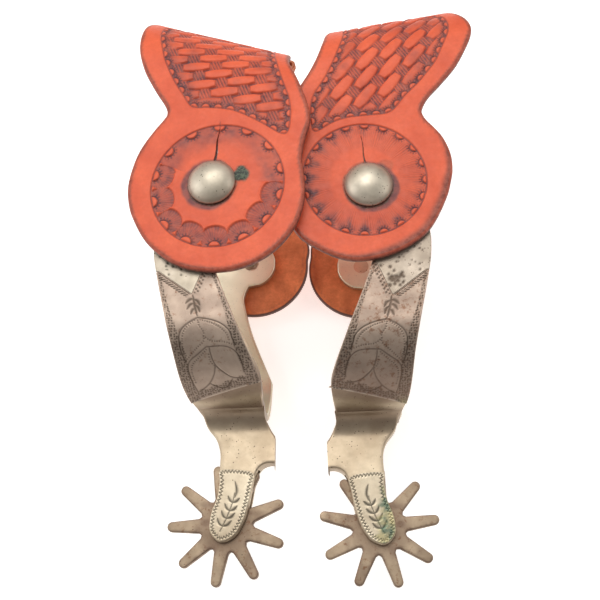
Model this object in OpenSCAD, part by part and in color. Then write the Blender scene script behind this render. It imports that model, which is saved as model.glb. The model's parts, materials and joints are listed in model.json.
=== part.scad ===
// A pair of western show spurs lying on their sides: engraved heel bands with a chap guard and a
// nine-point rowel, and buckled wing straps of stamped leather on domed buttons.
// Each spur is drawn in its own frame: X up the boot, Y to the toe, Z outward, origin at the heel line.

/* [Heel band] */
// Inside width of the band between its two arms
band_inner = 84; // [76:1:90]
// Thickness of the band
band_t = 3.6; // [3:0.1:4.5]
// Depth of the rounded heel of the band
heel_depth = 34; // [30:1:42]
// Distance from the heel line forward to the button
button_y = 96.5; // [92:0.5:100]
// Radius of the round paddle that carries a button
paddle_r = 12.8; // [11:0.1:14]
// Thickness of the engraved overlay on the outer arm
overlay_t = 0.6; // [0.4:0.1:1]

/* [Shank] */
// Thickness of the shank and its fork
shank_t = 7.8; // [7:0.1:9]
// Width of the slot that the rowel turns in
slot_w = 3.8; // [3.5:0.1:4.2]
// Distance from the heel line back to the rowel pin
pin_back = 50; // [48:0.5:54]
// Diameter of the rowel pin
pin_d = 4; // [3:0.5:5]

/* [Rowel] */
// Number of points
points = 9; // [7:1:11]
// Radius to the centre of each rounded tip
tip_ring_r = 25; // [23:0.5:26]
// Radius of each rounded tip
tip_r = 2.25; // [2:0.05:2.5]
// Radius of the valleys between the points
valley_r = 12; // [10:0.5:13]
// Thickness of the rowel
rowel_t = 3; // [2.4:0.1:3.2]
// Turn of the left rowel
left_turn = 21; // [0:1:40]
// Turn of the right rowel
right_turn = 14; // [0:1:40]

/* [Buttons] */
// Diameter of the domed buttons
button_d = 22; // [20:0.5:24]
// Height of the outer dome
outer_dome_h = 6.5; // [5:0.5:8]
// Height of the inner dome
inner_dome_h = 4.5; // [4:0.5:5]
// Diameter of the button posts
post_d = 8; // [7:0.5:9]

/* [Straps] */
// Thickness of the wing leather
wing_t = 3.8; // [3:0.1:4.5]
// Thickness of the inner strap
billet_t = 3; // [2.5:0.1:3.4]
// Flat length of the left wing, from the button to its bend
left_bend_v = 53.5; // [50:0.5:60]
// Flat length of the right wing, from the button to its bend
right_bend_v = 66.5; // [60:0.5:70]
// Radius of the round end of the inner strap
billet_round_r = 27.7; // [25:0.1:30]
// How far the round end of the left inner strap sits to the side of its button
left_round_u = 2.2; // [0:0.1:3]
// How far the round end of the right inner strap sits to the side of its button
right_round_u = 0.3; // [0:0.1:3]
// Width of the narrow strap
strap_w = 20; // [18:0.5:22]
// Lean of the left strap toward the top of the boot
left_heading = 20; // [14:1:22]
// Lean of the right strap toward the top of the boot
right_heading = 9; // [4:1:14]

/* [Placing] */
// Half of the distance between the two spurs
half_gap = 33; // [33:0.5:45]
// Roll of the left spur, which lies over the right one
left_roll = 7.5; // [5:0.5:10]

/* [Hidden] */
$fn = 64;

nickel = [0.74, 0.72, 0.66];
steel = [0.55, 0.53, 0.50];
rust = [0.55, 0.42, 0.30];
leather_red = [0.85, 0.42, 0.28];
leather_brown = [0.66, 0.36, 0.20];

button_x = -1.5;
half_in = band_inner / 2;
half_out = half_in + band_t;
fit = 0.02;              // press fits of posts and pins in their bores
run = 0.08;              // running clearance around a pin or post
gap = 0.3;               // air between the leather and the metal
wing_in = half_out + overlay_t + gap;
wing_out = wing_in + wing_t;
billet_in = half_out + gap;
billet_out = billet_in + billet_t;

// The strap loop, in the plane of the heading: V runs from the button line to the front of the loop.
// $bend_v is the V where the wing starts to bend, and everything on the front of the loop follows it.
near_bend_r = 36;
far_bend_r = 24;
function front_v() = $bend_v + near_bend_r;
function far_bend_v() = front_v() - far_bend_r;
near_bend_z = wing_out - near_bend_r;
far_bend_z = -billet_out + far_bend_r;
strap_mid = -13;         // the narrow strap's middle, across the loop

// The buckle sits on the straight front of the loop.
bar_z = -6;              // height of the bar that carries the tongue
bar_r = 1.5;
fold_t = 2.4;            // the wing leather is skived where it folds round the bar
function bar_v() = front_v() - fold_t - bar_r - 0.1;
frame_len = 16;          // bar to the far side of the frame
frame_w = strap_w + 8;
function far_side_v() = front_v() + 1.9;
tongue_r = 1.2;

// The band rests on its inner side and on the inner button's dome.
rest_v = button_y - heel_depth;
dome_z = billet_out + gap + inner_dome_h;
pitch = atan2(dome_z - half_out + 0.3, rest_v + 2);
lift_right = sqrt(pow(heel_depth * sin(pitch), 2) + pow(half_out * cos(pitch), 2))
    - heel_depth * sin(pitch);
lift_left = lift_right + 2.29;
centre = [-3.97, -63.81, 0];   // puts the pair's middle over the origin

// Catmull-Rom curve through a closed list of points.
function spline(p, a, t) =
    let (n = len(p), p0 = p[(a + n - 1) % n], p1 = p[a], p2 = p[(a + 1) % n], p3 = p[(a + 2) % n])
    0.5 * (2 * p1 + t * (p2 - p0) + t * t * (2 * p0 - 5 * p1 + 4 * p2 - p3)
        + t * t * t * (3 * p1 - p0 - 3 * p2 + p3));
function smooth(p, steps = 5) =
    [for (a = [0 : len(p) - 1], i = [0 : steps - 1]) spline(p, a, i / steps)];

// Side view of the band: the arms slope down from the buttons to the heel.
band_side = [
    [-11.8, -6], [-12.4, -0.5], [-14.8, 3], [-16.3, 8], [-18.1, 20], [-21.3, 34], [-25.2, 50],
    [-28, 64], [-28, 76], [-23, 89], [-15, 100], [button_x - 2, button_y + 9],
    [button_x, button_y - 8], [-4.6, 79.5], [-4.6, 73], [0.6, 55], [10.5, 31], [17.6, 14],
    [19.2, 8.5], [18.6, 4], [17.4, 0.5], [17, -6]];
// Side view of the shank, its fork and the chap guard.
shank_side = [
    [-12.4, 8], [-12, 0.5], [-9.8, -6], [-5.6, -11.5], [-3.6, -18], [-3.6, -26], [-3.4, -31],
    [-4.2, -38], [-6.6, -45], [-7.2, -52], [-5, -56.2], [-1, -58], [4.6, -55.4], [8.6, -48.7],
    [10.6, -41.5], [12.2, -32], [14.2, -25.6], [18.5, -22.9], [25, -23.6], [31, -25.4],
    [33.2, -23.4], [31.6, -20], [25, -14], [20.4, -8.5], [17.6, -2.5], [17, 2], [17.2, 8]];
cheek_side = [
    [-3.1, -26], [-3, -31], [-3.8, -38], [-6.2, -45], [-6.8, -52], [-4.7, -55.9], [-1, -57.6],
    [4.4, -55], [8.2, -48.6], [10.2, -41.5], [11.7, -34], [12.4, -27.5], [4.6, -25.6]];
// Outline of each wing from above, across and along the strap, with the button at [0, 0].
left_wing_top = [
    [44.4, -2], [43.4, 5], [41, 12], [37.6, 19], [34.9, 24], [33.6, 29], [32.6, 35], [32.2, 41],
    [31, 45.5], [28.9, 49.7], [22.2, 58.8], [14, 68.5], [7.7, 76.2], [5.4, 80], [4.5, 85], [6, 96],
    [-40, 98], [-74, 96], [-71, 84], [-70, 74], [-64.7, 60.4], [-57, 48.8], [-47.4, 39.7], [-38.6, 32.6],
    [-35.6, 28.6], [-36, 25], [-38, 18.5], [-40.2, 8.4], [-40.3, -1], [-38.4, -11.9], [-34.6, -20],
    [-29.5, -26.6], [-19.6, -35.2], [-8.6, -40.4], [-1.5, -42], [5.8, -42.4], [17.5, -40.1],
    [28.2, -34.8], [36.8, -26.6], [41.8, -17.7], [44.2, -8.8]];
right_wing_top = [
    [40.2, 0], [39.4, 9], [36.8, 18], [34, 25], [32.8, 31], [32.2, 38], [30.5, 44.5], [27.5, 50],
    [19.8, 59.7], [14.3, 66.3], [9.1, 74.4], [4.6, 84], [2.1, 90.5], [0.4, 97], [1, 110], [-40, 112],
    [-70, 110], [-66, 98], [-65, 91], [-67, 84.6], [-68, 79], [-67.4, 74], [-64.4, 67.6], [-58, 58.8],
    [-53, 53.3], [-45.4, 46.8], [-38, 40.8], [-34, 35.8], [-33, 32.6], [-34.2, 28.5], [-36.9, 23.8],
    [-39.6, 17.6], [-40.9, 9.1], [-39.9, 1.2], [-37.5, -5.2], [-34.1, -11.9], [-26.6, -22.3],
    [-19.5, -28.8], [-9.2, -33.5], [2, -35.7], [12.3, -35.2], [20.7, -32], [30.3, -24.6], [35.8, -18.4],
    [39, -9.6]];

// The same outlines from the front, below the bend: across the loop and up.
left_wing_front = [
    [-76, 70], [-71, 45], [-70, 36], [-66, 29], [-57, 24.5], [-44, 22], [-33, 20.5], [-26, 18],
    [-23, 13], [-23, 4], [-23, -14], [-3, -14], [-3, 4], [-3, 13], [-0.5, 22], [3.4, 31], [7, 38.5],
    [11.5, 46], [50, 70]];
right_wing_front = [
    [-80, 70], [-70, 52], [-66.5, 44], [-63, 38], [-57, 31], [-48, 26], [-38, 22.5], [-30, 19.5],
    [-25, 16.5], [-23, 12], [-23, 4], [-23, -14], [-3, -14], [-3, 4], [-3, 13], [-2.6, 22], [-1.8, 31],
    [0, 38], [3.5, 43], [9, 48], [18, 53], [50, 70]];

// One line of the heel curve, D outside the inner face, closed forward at Y = 130.
function heel_curve(d, from = -90, to = 90, steps = 40) =
    [for (i = [0 : steps]) let (a = from + (to - from) * i / steps,
        h = half_in + d, m = heel_depth - band_t + d)
        [heel_depth - m * cos(a), h * sin(a)]];

// Stands a Y-Z outline up across X, from X = X0 to X1.
module across(x0, x1) {
    translate([x0, 0, 0]) rotate([90, 0, 90]) linear_extrude(x1 - x0) children();
}
module side_plate(outline, z0, z1, steps = 5) {
    translate([0, 0, z0]) linear_extrude(z1 - z0) polygon(smooth(outline, steps));
}

module u_shell(d0, d1) {
    across(-40, 40) difference() {
        polygon(concat([[130, -half_in - d1]], heel_curve(d1), [[130, half_in + d1]]));
        polygon(concat([[131, -half_in - d0]], heel_curve(d0), [[131, half_in + d0]]));
    }
}
module band_outline(z0, z1) {
    side_plate(band_side, z0, z1);
    translate([button_x, button_y, z0]) cylinder(r = paddle_r, h = z1 - z0);
}
module button_bores(r) {
    translate([button_x, button_y, -70]) cylinder(r = r, h = 140);
}
// Both edges of the heel lean in toward the inner arm.
module lean_slab(y, outline) {
    translate([0, y, 0]) rotate([90, 0, 0]) linear_extrude(0.01) polygon(outline);
}
module heel_lean() {
    translate([0, 60, 0]) rotate([90, 0, 0]) linear_extrude(90)
        polygon([[18.9, 20], [8.6, -62], [60, -62], [60, 20]]);
    hull() {
        lean_slab(-8, [[-60, 20], [-13.4, 20], [-7.5, -62], [-60, -62]]);
        lean_slab(0, [[-60, 20], [-13.4, 20], [-7.5, -62], [-60, -62]]);
        lean_slab(14, [[-60, 20], [-17.2, 20], [-17.2, -62], [-60, -62]]);
    }
}
module heel_band() {
    color(nickel) difference() {
        intersection() {
            u_shell(0, band_t);
            band_outline(-60, 60);
        }
        button_bores(post_d / 2 + fit);
        heel_lean();
    }
}

// The engraved overlay runs from the polished tab to the raised end line near the heel.
tab_tip = [-9.4, 44];
end_y = 4.8;
end_lean = 8.7;
module overlay_shell() {
    intersection() {
        difference() {
            u_shell(band_t, band_t + overlay_t);
            translate([-60, -10, -70]) cube([120, 140, 70]);
            translate([0, end_y, -1]) rotate([0, 0, end_lean]) translate([-60, -30, 0])
                cube([120, 30, 60]);
        }
        side_plate(band_side, 0, 60);
    }
}
module tab_wedge() {
    translate([tab_tip[0], tab_tip[1], 40]) linear_extrude(20)
        polygon([[0, 0], [-31, 23], [-31, 70], [27, 70]]);
}
module band_overlay() {
    color(nickel) difference() {
        overlay_shell();
        tab_wedge();
    }
}
module tab_plate() {
    color(nickel) difference() {
        intersection() {
            overlay_shell();
            tab_wedge();
        }
        translate([button_x, button_y, 40]) cylinder(r = paddle_r + 3, h = 20);
    }
}

// The shank seen from above: it spreads into the band through a round fillet on each side.
root_r = 10;
function root_arc(s) = [for (a = [0 : 9 : 90])
    [-root_r + root_r * sin(a), s * (shank_t / 2 + root_r - root_r * cos(a))]];
module shank_root() {
    across(-40, 60) polygon(concat([[-80, -shank_t / 2]], root_arc(-1), [[12, -shank_t / 2 - root_r]],
        [[12, shank_t / 2 + root_r]], [for (i = [10 : -1 : 0]) root_arc(1)[i]], [[-80, shank_t / 2]]));
}
module shank() {
    color(steel) difference() {
        intersection() {
            side_plate(shank_side, -30, 30);
            shank_root();
        }
        across(-40, 40) polygon(concat([[60, -half_out]], heel_curve(band_t), [[60, half_out]]));
        intersection() {
            heel_lean();
            translate([-50, -5, -80]) cube(100);
        }
        translate([0, -pin_back, -slot_w / 2])
            cylinder(r = tip_ring_r + tip_r + 1.2, h = slot_w);
        translate([0, -pin_back, -20]) cylinder(d = pin_d + 2 * fit, h = 40);
    }
}
module cheek_overlay() {
    color(nickel) side_plate(cheek_side, shank_t / 2, shank_t / 2 + 1);
}
module rowel_pin() {
    color(steel) translate([0, -pin_back, -shank_t / 2]) cylinder(d = pin_d, h = shank_t);
}
// One point of the rowel: up one flank, round the tip and down the other flank.
function rowel_point(k) = let (step = 360 / points, c = k * step) concat(
    [[valley_r * cos(c - step / 2), valley_r * sin(c - step / 2)],
     [(valley_r + 0.9) * cos(c - step * 0.36), (valley_r + 0.9) * sin(c - step * 0.36)]],
    [for (a = [-84 : 14 : 84]) [tip_ring_r * cos(c) + tip_r * cos(c + a),
        tip_ring_r * sin(c) + tip_r * sin(c + a)]],
    [[(valley_r + 0.9) * cos(c + step * 0.36), (valley_r + 0.9) * sin(c + step * 0.36)]]);
module rowel(turn) {
    color(rust) translate([0, -pin_back, 0]) rotate([0, 0, turn]) difference() {
        translate([0, 0, -rowel_t / 2]) linear_extrude(rowel_t)
            polygon([for (k = [0 : points - 1]) each rowel_point(k)]);
        translate([0, 0, -5]) cylinder(d = pin_d + 2 * run, h = 10);
    }
}

// A domed button cap: a slice of a sphere on a short rim.
module dome(h) {
    rim = 1.2;
    r = (pow(button_d / 2, 2) + pow(h - rim, 2)) / (2 * (h - rim));
    cylinder(d = button_d, h = rim);
    intersection() {
        translate([0, 0, h - r]) sphere(r = r, $fn = 96);
        translate([0, 0, rim]) cylinder(d = button_d, h = h);
    }
}
module outer_button() {
    color(nickel) translate([button_x, button_y, wing_out + gap]) dome(outer_dome_h);
}
module inner_button() {
    color(nickel) translate([button_x, button_y, -billet_out - gap]) mirror([0, 0, 1])
        dome(inner_dome_h);
}
module outer_post() {
    color(steel) translate([button_x, button_y, half_in])
        cylinder(d = post_d, h = wing_out + gap - half_in);
}
module inner_post() {
    color(steel) translate([button_x, button_y, -billet_out - gap])
        cylinder(d = post_d, h = billet_out + gap - half_in);
}

// Turns a strap drawn with the button at the origin and V = Y onto its button line.
module on_buttons(heading) {
    translate([button_x, button_y, 0]) rotate([0, 0, -heading]) children();
}
module quarter_bend(r_out, t, x0, x1) {
    rotate([0, 90, 0]) difference() {
        translate([0, 0, x0]) cylinder(r = r_out, h = x1 - x0, $fn = 128);
        translate([0, 0, x0 - 1]) cylinder(r = r_out - t, h = x1 - x0 + 2, $fn = 128);
    }
}
// The wing's sheet: flat over the button, round the near bend and down the front to the bar.
module wing_sheet() {
    translate([-80, -60, wing_in]) cube([160, 60 + $bend_v, wing_t]);
    intersection() {
        translate([0, $bend_v, near_bend_z]) quarter_bend(near_bend_r, wing_t, -80, 80);
        translate([-80, $bend_v, near_bend_z]) cube([160, 60, 60]);
    }
    translate([-80, front_v() - wing_t, bar_z + 6]) cube([160, wing_t, near_bend_z - bar_z - 6]);
}
module wing_front_cut(front) {
    translate([0, 120, 0]) rotate([90, 0, 0]) linear_extrude(72) polygon(smooth(front, 6));
    translate([-90, -60, -20]) cube([180, 60 + $bend_v, 90]);
}
// The narrow end folds round the bar and comes back up inside, under the rivets.
module wing_fold() {
    w = strap_w - 1;
    difference() {
        union() {
            translate([strap_mid - w / 2, bar_v(), bar_z]) rotate([0, 90, 0])
                cylinder(r = bar_r + 0.1 + fold_t, h = w);
            translate([strap_mid - w / 2, bar_v() - bar_r - 0.1 - fold_t, bar_z])
                cube([w, 2 * (bar_r + 0.1 + fold_t), 7]);
            translate([strap_mid - w / 2, front_v() - wing_t - fold_t, bar_z + 6])
                cube([w, fold_t + 0.01, 14]);
        }
        translate([strap_mid - w, bar_v(), bar_z]) rotate([0, 90, 0])
            cylinder(r = bar_r + 0.1, h = 2 * w);
        translate([strap_mid - 2.2, bar_v() - 5, bar_z - 5]) cube([4.4, 12, 11.5]);
        translate([-40, front_v() + 0.02, bar_z - 10]) cube([80, 10, 30]);
    }
}
module wing_strap(heading, top, front, slit) {
    color(leather_red) on_buttons(heading) difference() {
        union() {
            intersection() {
                wing_sheet();
                wing_front_cut(front);
                translate([0, 0, -20]) linear_extrude(120) polygon(smooth(top, 6));
            }
            wing_fold();
        }
        translate([0, 0, wing_in - 5]) cylinder(d = post_d + 2 * run, h = 20);
        rotate([0, 0, slit]) translate([-0.6, 0, wing_in - 5]) cube([1.2, 29, 20]);
        rivet_bores();
    }
}

// The inner strap: a round end, a long narrow billet, up the front and out through the buckle.
step_z0 = bar_z - frame_len - 1;
tip_z = bar_z + 20;
module billet_outline() {
    translate([$round_u, 0]) circle(r = billet_round_r, $fn = 128);
    r = strap_mid + strap_w / 2;
    l = strap_mid - strap_w / 2;
    polygon(smooth([[$round_u + 25, 11], [$round_u + 22.3, 21], [12.5, 34], [3.5, 46], [r + 0.5, 60], [r, 72], [r, 112],
        [l, 112], [l, 72], [l, 56], [-23, 40], [-23.5, 26], [-26, 6], [0, 0]], 5));
}
module billet_sheet() {
    translate([-40, -40, -billet_out]) cube([80, 40 + far_bend_v(), billet_t]);
    intersection() {
        translate([0, far_bend_v(), far_bend_z]) quarter_bend(far_bend_r, billet_t, -40, 40);
        translate([-40, far_bend_v(), far_bend_z - 60]) cube([80, 60, 60]);
    }
}
module billet_front() {
    x0 = strap_mid - strap_w / 2 + 0.5;
    v0 = front_v() - billet_t;
    v1 = front_v() + 0.35;
    across(x0, x0 + strap_w - 1) polygon([[v0, far_bend_z], [front_v(), far_bend_z],
        [front_v(), step_z0], [v1 + billet_t, bar_z - 2.5], [v1 + billet_t, tip_z],
        [v1 + billet_t / 2, tip_z + 1], [v1, tip_z], [v1, bar_z - 2.5], [v0, step_z0]]);
}
module inner_strap(heading) {
    color(leather_brown) on_buttons(heading) difference() {
        union() {
            intersection() {
                billet_sheet();
                translate([0, 0, -70]) linear_extrude(120) billet_outline();
            }
            billet_front();
        }
        translate([0, 0, -billet_out - 5]) cylinder(d = post_d + 2 * run, h = 20);
        translate([strap_mid - 2, front_v() - 5, bar_z - 14.5]) cube([4, 12, 17]);
        translate([strap_mid, front_v() - 2, bar_z + 8.5]) rotate([-90, 0, 0])
            cylinder(d = 3.4, h = 9);
    }
}

module rivet_bores() {
    for (s = [-1, 1]) translate([strap_mid + 5.5 * s, front_v() - 9, bar_z + 10])
        rotate([-90, 0, 0]) cylinder(r = 1.5 + fit, h = 12);
}
module strap_rivets(heading) {
    color(nickel) on_buttons(heading)
        for (s = [-1, 1]) translate([strap_mid + 5.5 * s, front_v() - wing_t - 2.4, bar_z + 10])
            rotate([-90, 0, 0]) {
                cylinder(r = 1.5, h = wing_t + 2.4);
                translate([0, 0, -1]) cylinder(r = 3, h = 1);
            }
}

// Buckle frame: a bar in the fold, two cranked sides and a far side over the billet.
module buckle_frame(heading) {
    color(nickel) on_buttons(heading) translate([strap_mid, 0, 0]) {
        translate([-frame_w / 2, bar_v(), bar_z]) rotate([0, 90, 0])
            cylinder(r = bar_r, h = frame_w);
        translate([-frame_w / 2, far_side_v(), bar_z - frame_len]) rotate([0, 90, 0])
            cylinder(r = bar_r, h = frame_w);
        for (s = [-1, 1]) translate([s * (frame_w / 2 - 1.5) - 1.5, 0, 0]) across(0, 3)
            polygon([[bar_v() - 1.5, bar_z], [bar_v() + 1.5, bar_z + 1.2], [far_side_v() + 1.5,
                bar_z - frame_len], [far_side_v() - 1.5, bar_z - frame_len - 1.2]]);
    }
}
module buckle_tongue(heading) {
    color(nickel) on_buttons(heading) translate([strap_mid, bar_v(), bar_z]) {
        reach = norm([far_side_v() - bar_v(), frame_len]);
        lean = atan2(far_side_v() - bar_v(), frame_len) + asin((bar_r + tongue_r + 0.1) / reach);
        difference() {
            union() {
                translate([-1.5, 0, 0]) rotate([0, 90, 0]) cylinder(r = bar_r + 1.2, h = 3);
                rotate([180 + lean, 0, 0]) cylinder(r = tongue_r, h = frame_len + 2.2);
            }
            translate([-5, 0, 0]) rotate([0, 90, 0]) cylinder(r = bar_r + run, h = 10);
        }
    }
}
// The keeper: a leather loop round the wing's narrow end and the billet's tip.
module keeper(heading) {
    v0 = front_v() - wing_t - 2.7;
    v1 = front_v() + 0.35 + billet_t + 0.3;
    w = strap_w + 1;
    color(leather_brown) on_buttons(heading) translate([strap_mid, 0, bar_z + 16.2])
        difference() {
            translate([-w / 2 - 1.8, v0 - 1.8, -3]) cube([w + 3.6, v1 - v0 + 3.6, 6]);
            translate([-w / 2, v0, -5]) cube([w, v1 - v0, 10]);
        }
}

module left() {
    translate([-half_gap, 0, lift_left] + centre) rotate([pitch, 0, -1.6]) rotate([0, -left_roll, 0])
        children();
}
module right() {
    translate([half_gap, -1.7, lift_right] + centre) rotate([pitch, 0, 1.1]) mirror([1, 0, 0]) children();
}

left() heel_band();  // left_heel_band
left() band_overlay();  // left_band_overlay
left() tab_plate();  // left_tab_plate
left() shank();  // left_shank
left() cheek_overlay();  // left_cheek_overlay
left() rowel(left_turn);  // left_rowel
left() rowel_pin();  // left_rowel_pin
left() outer_button();  // left_outer_button
left() outer_post();  // left_outer_post
left() inner_button();  // left_inner_button
left() inner_post();  // left_inner_post
left()  // left_wing_strap
    wing_strap(left_heading, left_wing_top, left_wing_front, 15.4, $bend_v = left_bend_v);
left()  // left_inner_strap
    inner_strap(left_heading, $bend_v = left_bend_v, $round_u = left_round_u);
left()  // left_buckle_frame
    buckle_frame(left_heading, $bend_v = left_bend_v);
left()  // left_buckle_tongue
    buckle_tongue(left_heading, $bend_v = left_bend_v);
left()  // left_keeper
    keeper(left_heading, $bend_v = left_bend_v);
left()  // left_strap_rivets
    strap_rivets(left_heading, $bend_v = left_bend_v);
right() heel_band();  // right_heel_band
right() band_overlay();  // right_band_overlay
right() tab_plate();  // right_tab_plate
right() shank();  // right_shank
right() cheek_overlay();  // right_cheek_overlay
right() rowel(right_turn);  // right_rowel
right() rowel_pin();  // right_rowel_pin
right() outer_button();  // right_outer_button
right() outer_post();  // right_outer_post
right() inner_button();  // right_inner_button
right() inner_post();  // right_inner_post
right()  // right_wing_strap
    wing_strap(right_heading, right_wing_top, right_wing_front, 4.7, $bend_v = right_bend_v);
right()  // right_inner_strap
    inner_strap(right_heading, $bend_v = right_bend_v, $round_u = right_round_u);
right()  // right_buckle_frame
    buckle_frame(right_heading, $bend_v = right_bend_v);
right()  // right_buckle_tongue
    buckle_tongue(right_heading, $bend_v = right_bend_v);
right()  // right_keeper
    keeper(right_heading, $bend_v = right_bend_v);
right()  // right_strap_rivets
    strap_rivets(right_heading, $bend_v = right_bend_v);
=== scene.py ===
"""A pair of western show spurs with stamped leather wing straps, lying on their sides.

Each spur is built in its own frame, in millimetres: X up the boot, Y to the toe, Z outward,
with the heel line at the origin. Straps are drawn flat, in U across and V along the strap from the button,
and are then bent over the instep.
"""

import json
import math

import bpy
import numpy as np
from mathutils import Matrix, Vector
from mathutils.geometry import delaunay_2d_cdt


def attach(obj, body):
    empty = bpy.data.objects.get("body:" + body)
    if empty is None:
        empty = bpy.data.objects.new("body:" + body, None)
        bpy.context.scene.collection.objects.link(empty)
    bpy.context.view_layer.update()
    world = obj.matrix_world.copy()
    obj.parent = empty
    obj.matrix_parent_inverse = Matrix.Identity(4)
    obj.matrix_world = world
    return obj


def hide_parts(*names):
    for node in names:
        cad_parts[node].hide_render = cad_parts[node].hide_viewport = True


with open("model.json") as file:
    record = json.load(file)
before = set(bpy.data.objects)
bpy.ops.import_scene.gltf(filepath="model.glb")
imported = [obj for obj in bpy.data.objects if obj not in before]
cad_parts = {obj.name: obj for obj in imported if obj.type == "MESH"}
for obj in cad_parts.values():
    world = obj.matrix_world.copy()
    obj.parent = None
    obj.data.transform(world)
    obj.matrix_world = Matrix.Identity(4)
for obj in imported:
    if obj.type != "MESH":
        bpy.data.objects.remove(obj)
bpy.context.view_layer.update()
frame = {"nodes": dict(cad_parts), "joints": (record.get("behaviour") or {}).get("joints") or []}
JOINTS = {joint["name"]: joint for joint in frame["joints"]}
MM = 0.001

# ---------------------------------------------------------------- sizes in mm, as in the CAD model
BUTTON_X, BUTTON_Y = -1.5, 96.5
PIN_BACK = 50.0
HALF_IN, BAND_T, OVERLAY_T = 42.0, 3.6, 0.6
HEEL_DEPTH, PADDLE_R = 34.0, 12.8
SHANK_T, SLOT_W, PIN_D, ROOT_R = 7.8, 3.8, 4.0, 10.0
POINTS, TIP_RING_R, TIP_R, VALLEY_R, ROWEL_T = 9, 25.0, 2.25, 12.0, 3.0
BUTTON_D, OUTER_DOME_H, INNER_DOME_H = 22.0, 6.5, 4.5
WING_T, WING_IN = 3.8, 46.5
BILLET_T, BILLET_IN, BILLET_ROUND_R = 3.0, 45.9, 27.7
ROUND_U = {"left": 2.2, "right": 0.3}
NEAR_BEND_R, FAR_BEND_R = 36.0, 24.0
STRAP_MID, STRAP_W = -13.0, 20.0
BAR_Z, BAR_R, FOLD_T, FRAME_LEN, TONGUE_R = -6.0, 1.5, 2.4, 16.0, 1.2
GAP = 0.3                                    # between a button and the leather under it
BAR_PLAY = 0.1                               # between the buckle's bar and the strap folded round it
FOLD_R = BAR_R + BAR_PLAY + FOLD_T           # outside of that fold
TURN = {"left": 21.0, "right": 14.0}         # how far each rowel is turned, in degrees

FINE = 0.3                                   # mesh spacing where leather is stamped or metal engraved
SHARP_ANGLE = 40                             # edges above this many degrees stay sharp
TINY = 1e-6
CELLS = 64                                   # side of the tables of random numbers
WARM_WHITE = (1.0, 0.99, 0.97, 1.0)

# Side outlines of the band, the shank and the cheek overlay, as (X, Y)
BAND_SIDE = [
    (-11.8, -6), (-12.4, -0.5), (-14.8, 3), (-16.3, 8), (-18.1, 20), (-21.3, 34), (-25.2, 50),
    (-28, 64), (-28, 76), (-23, 89), (-15, 100), (BUTTON_X - 2, BUTTON_Y + 9),
    (BUTTON_X, BUTTON_Y - 8), (-4.6, 79.5), (-4.6, 73), (0.6, 55), (10.5, 31), (17.6, 14),
    (19.2, 8.5), (18.6, 4), (17.4, 0.5), (17, -6)]
SHANK_SIDE = [
    (-12.2, 2.4), (-11.6, -1), (-9.8, -6), (-5.6, -11.5), (-3.6, -18), (-3.6, -26), (-3.4, -31),
    (-4.2, -38), (-6.6, -45), (-7.2, -52), (-5, -56.2), (-1, -58), (4.6, -55.4), (8.6, -48.7),
    (10.6, -41.5), (12.2, -32), (14.2, -25.6), (18.5, -22.9), (25, -23.6), (31, -25.4),
    (33.2, -23.4), (31.6, -20), (25, -14), (20.4, -8.5), (17.6, -2.5), (17, 2.4)]
CHEEK_SIDE = [
    (-3.1, -26), (-3, -31), (-3.8, -38), (-6.2, -45), (-6.8, -52), (-4.7, -55.9), (-1, -57.6),
    (4.4, -55), (8.2, -48.6), (10.2, -41.5), (11.7, -34), (12.4, -27.5), (4.6, -25.6)]


# ---------------------------------------------------------------- the two spurs' frames
class Spur:
    """One spur's own frame, found from its rowel pin, its button and its buckle's bar.

    The strap's places along V are where the wing starts to bend, ends its bend and reaches the bar, and
    where the front of the strap and the far side of the buckle are.
    """

    def __init__(self, side):
        self.side = side
        spin = JOINTS[side + "_rowel_spin"]
        pin, out = Vector(spin["pos_m"]), Vector(spin["axis"]).normalized()
        line = Vector(JOINTS[side + "_strap_swing"]["pos_m"]) - pin
        hand = 1 if side == "left" else -1
        line.normalize()
        cross = hand * line.cross(out)
        across, along = BUTTON_X, BUTTON_Y + PIN_BACK
        length = math.hypot(across, along)
        self.x = (cross * along + line * across) / length
        self.y = (line * along - cross * across) / length
        self.z = out
        self.origin = pin + self.y * PIN_BACK * MM
        bar = Vector(JOINTS[side + "_tongue_hinge"]["pos_m"]) - self.origin
        bar_x, bar_y = bar.dot(self.x) / MM - BUTTON_X, bar.dot(self.y) / MM - BUTTON_Y
        self.bar_v = math.sqrt(bar_x ** 2 + bar_y ** 2 - STRAP_MID ** 2)
        self.heading = math.degrees(math.atan2(bar_x, bar_y) - math.atan2(STRAP_MID, self.bar_v))
        self.front_v = self.bar_v + FOLD_R
        self.bend_v = self.front_v - NEAR_BEND_R
        self.wing_turn_v = self.bend_v + NEAR_BEND_R * math.pi / 2
        self.wing_bar_v = self.wing_turn_v + WING_IN + WING_T - NEAR_BEND_R - BAR_Z
        self.far_side_v = self.front_v + 1.9

    def world(self, points):
        """Millimetres in the spur's frame to metres in the shared frame."""
        axes = np.array([self.x, self.y, self.z])
        return np.asarray(points, float) @ axes * MM + np.array(self.origin)

    def strap(self, points):
        """(u, v, z) of the strap to the spur's frame."""
        xy = turned(points[:, :2], -self.heading) + (BUTTON_X, BUTTON_Y)
        return np.column_stack([xy, points[:, 2]])


# ---------------------------------------------------------------- outlines
def smooth(points, steps=6, closed=True):
    """Catmull-Rom curve through the points."""
    p = np.asarray(points, float)
    n = len(p)
    out = []
    for a in range(n if closed else n - 1):
        ids = [(a + k) % n if closed else min(max(a + k, 0), n - 1) for k in (-1, 0, 1, 2)]
        p0, p1, p2, p3 = p[ids]
        for t in np.arange(steps) / steps:
            out.append(0.5 * (2 * p1 + t * (p2 - p0) + t * t * (2 * p0 - 5 * p1 + 4 * p2 - p3)
                              + t ** 3 * (3 * p1 - p0 - 3 * p2 + p3)))
    if not closed:
        out.append(p[-1])
    return np.array(out)


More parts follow.
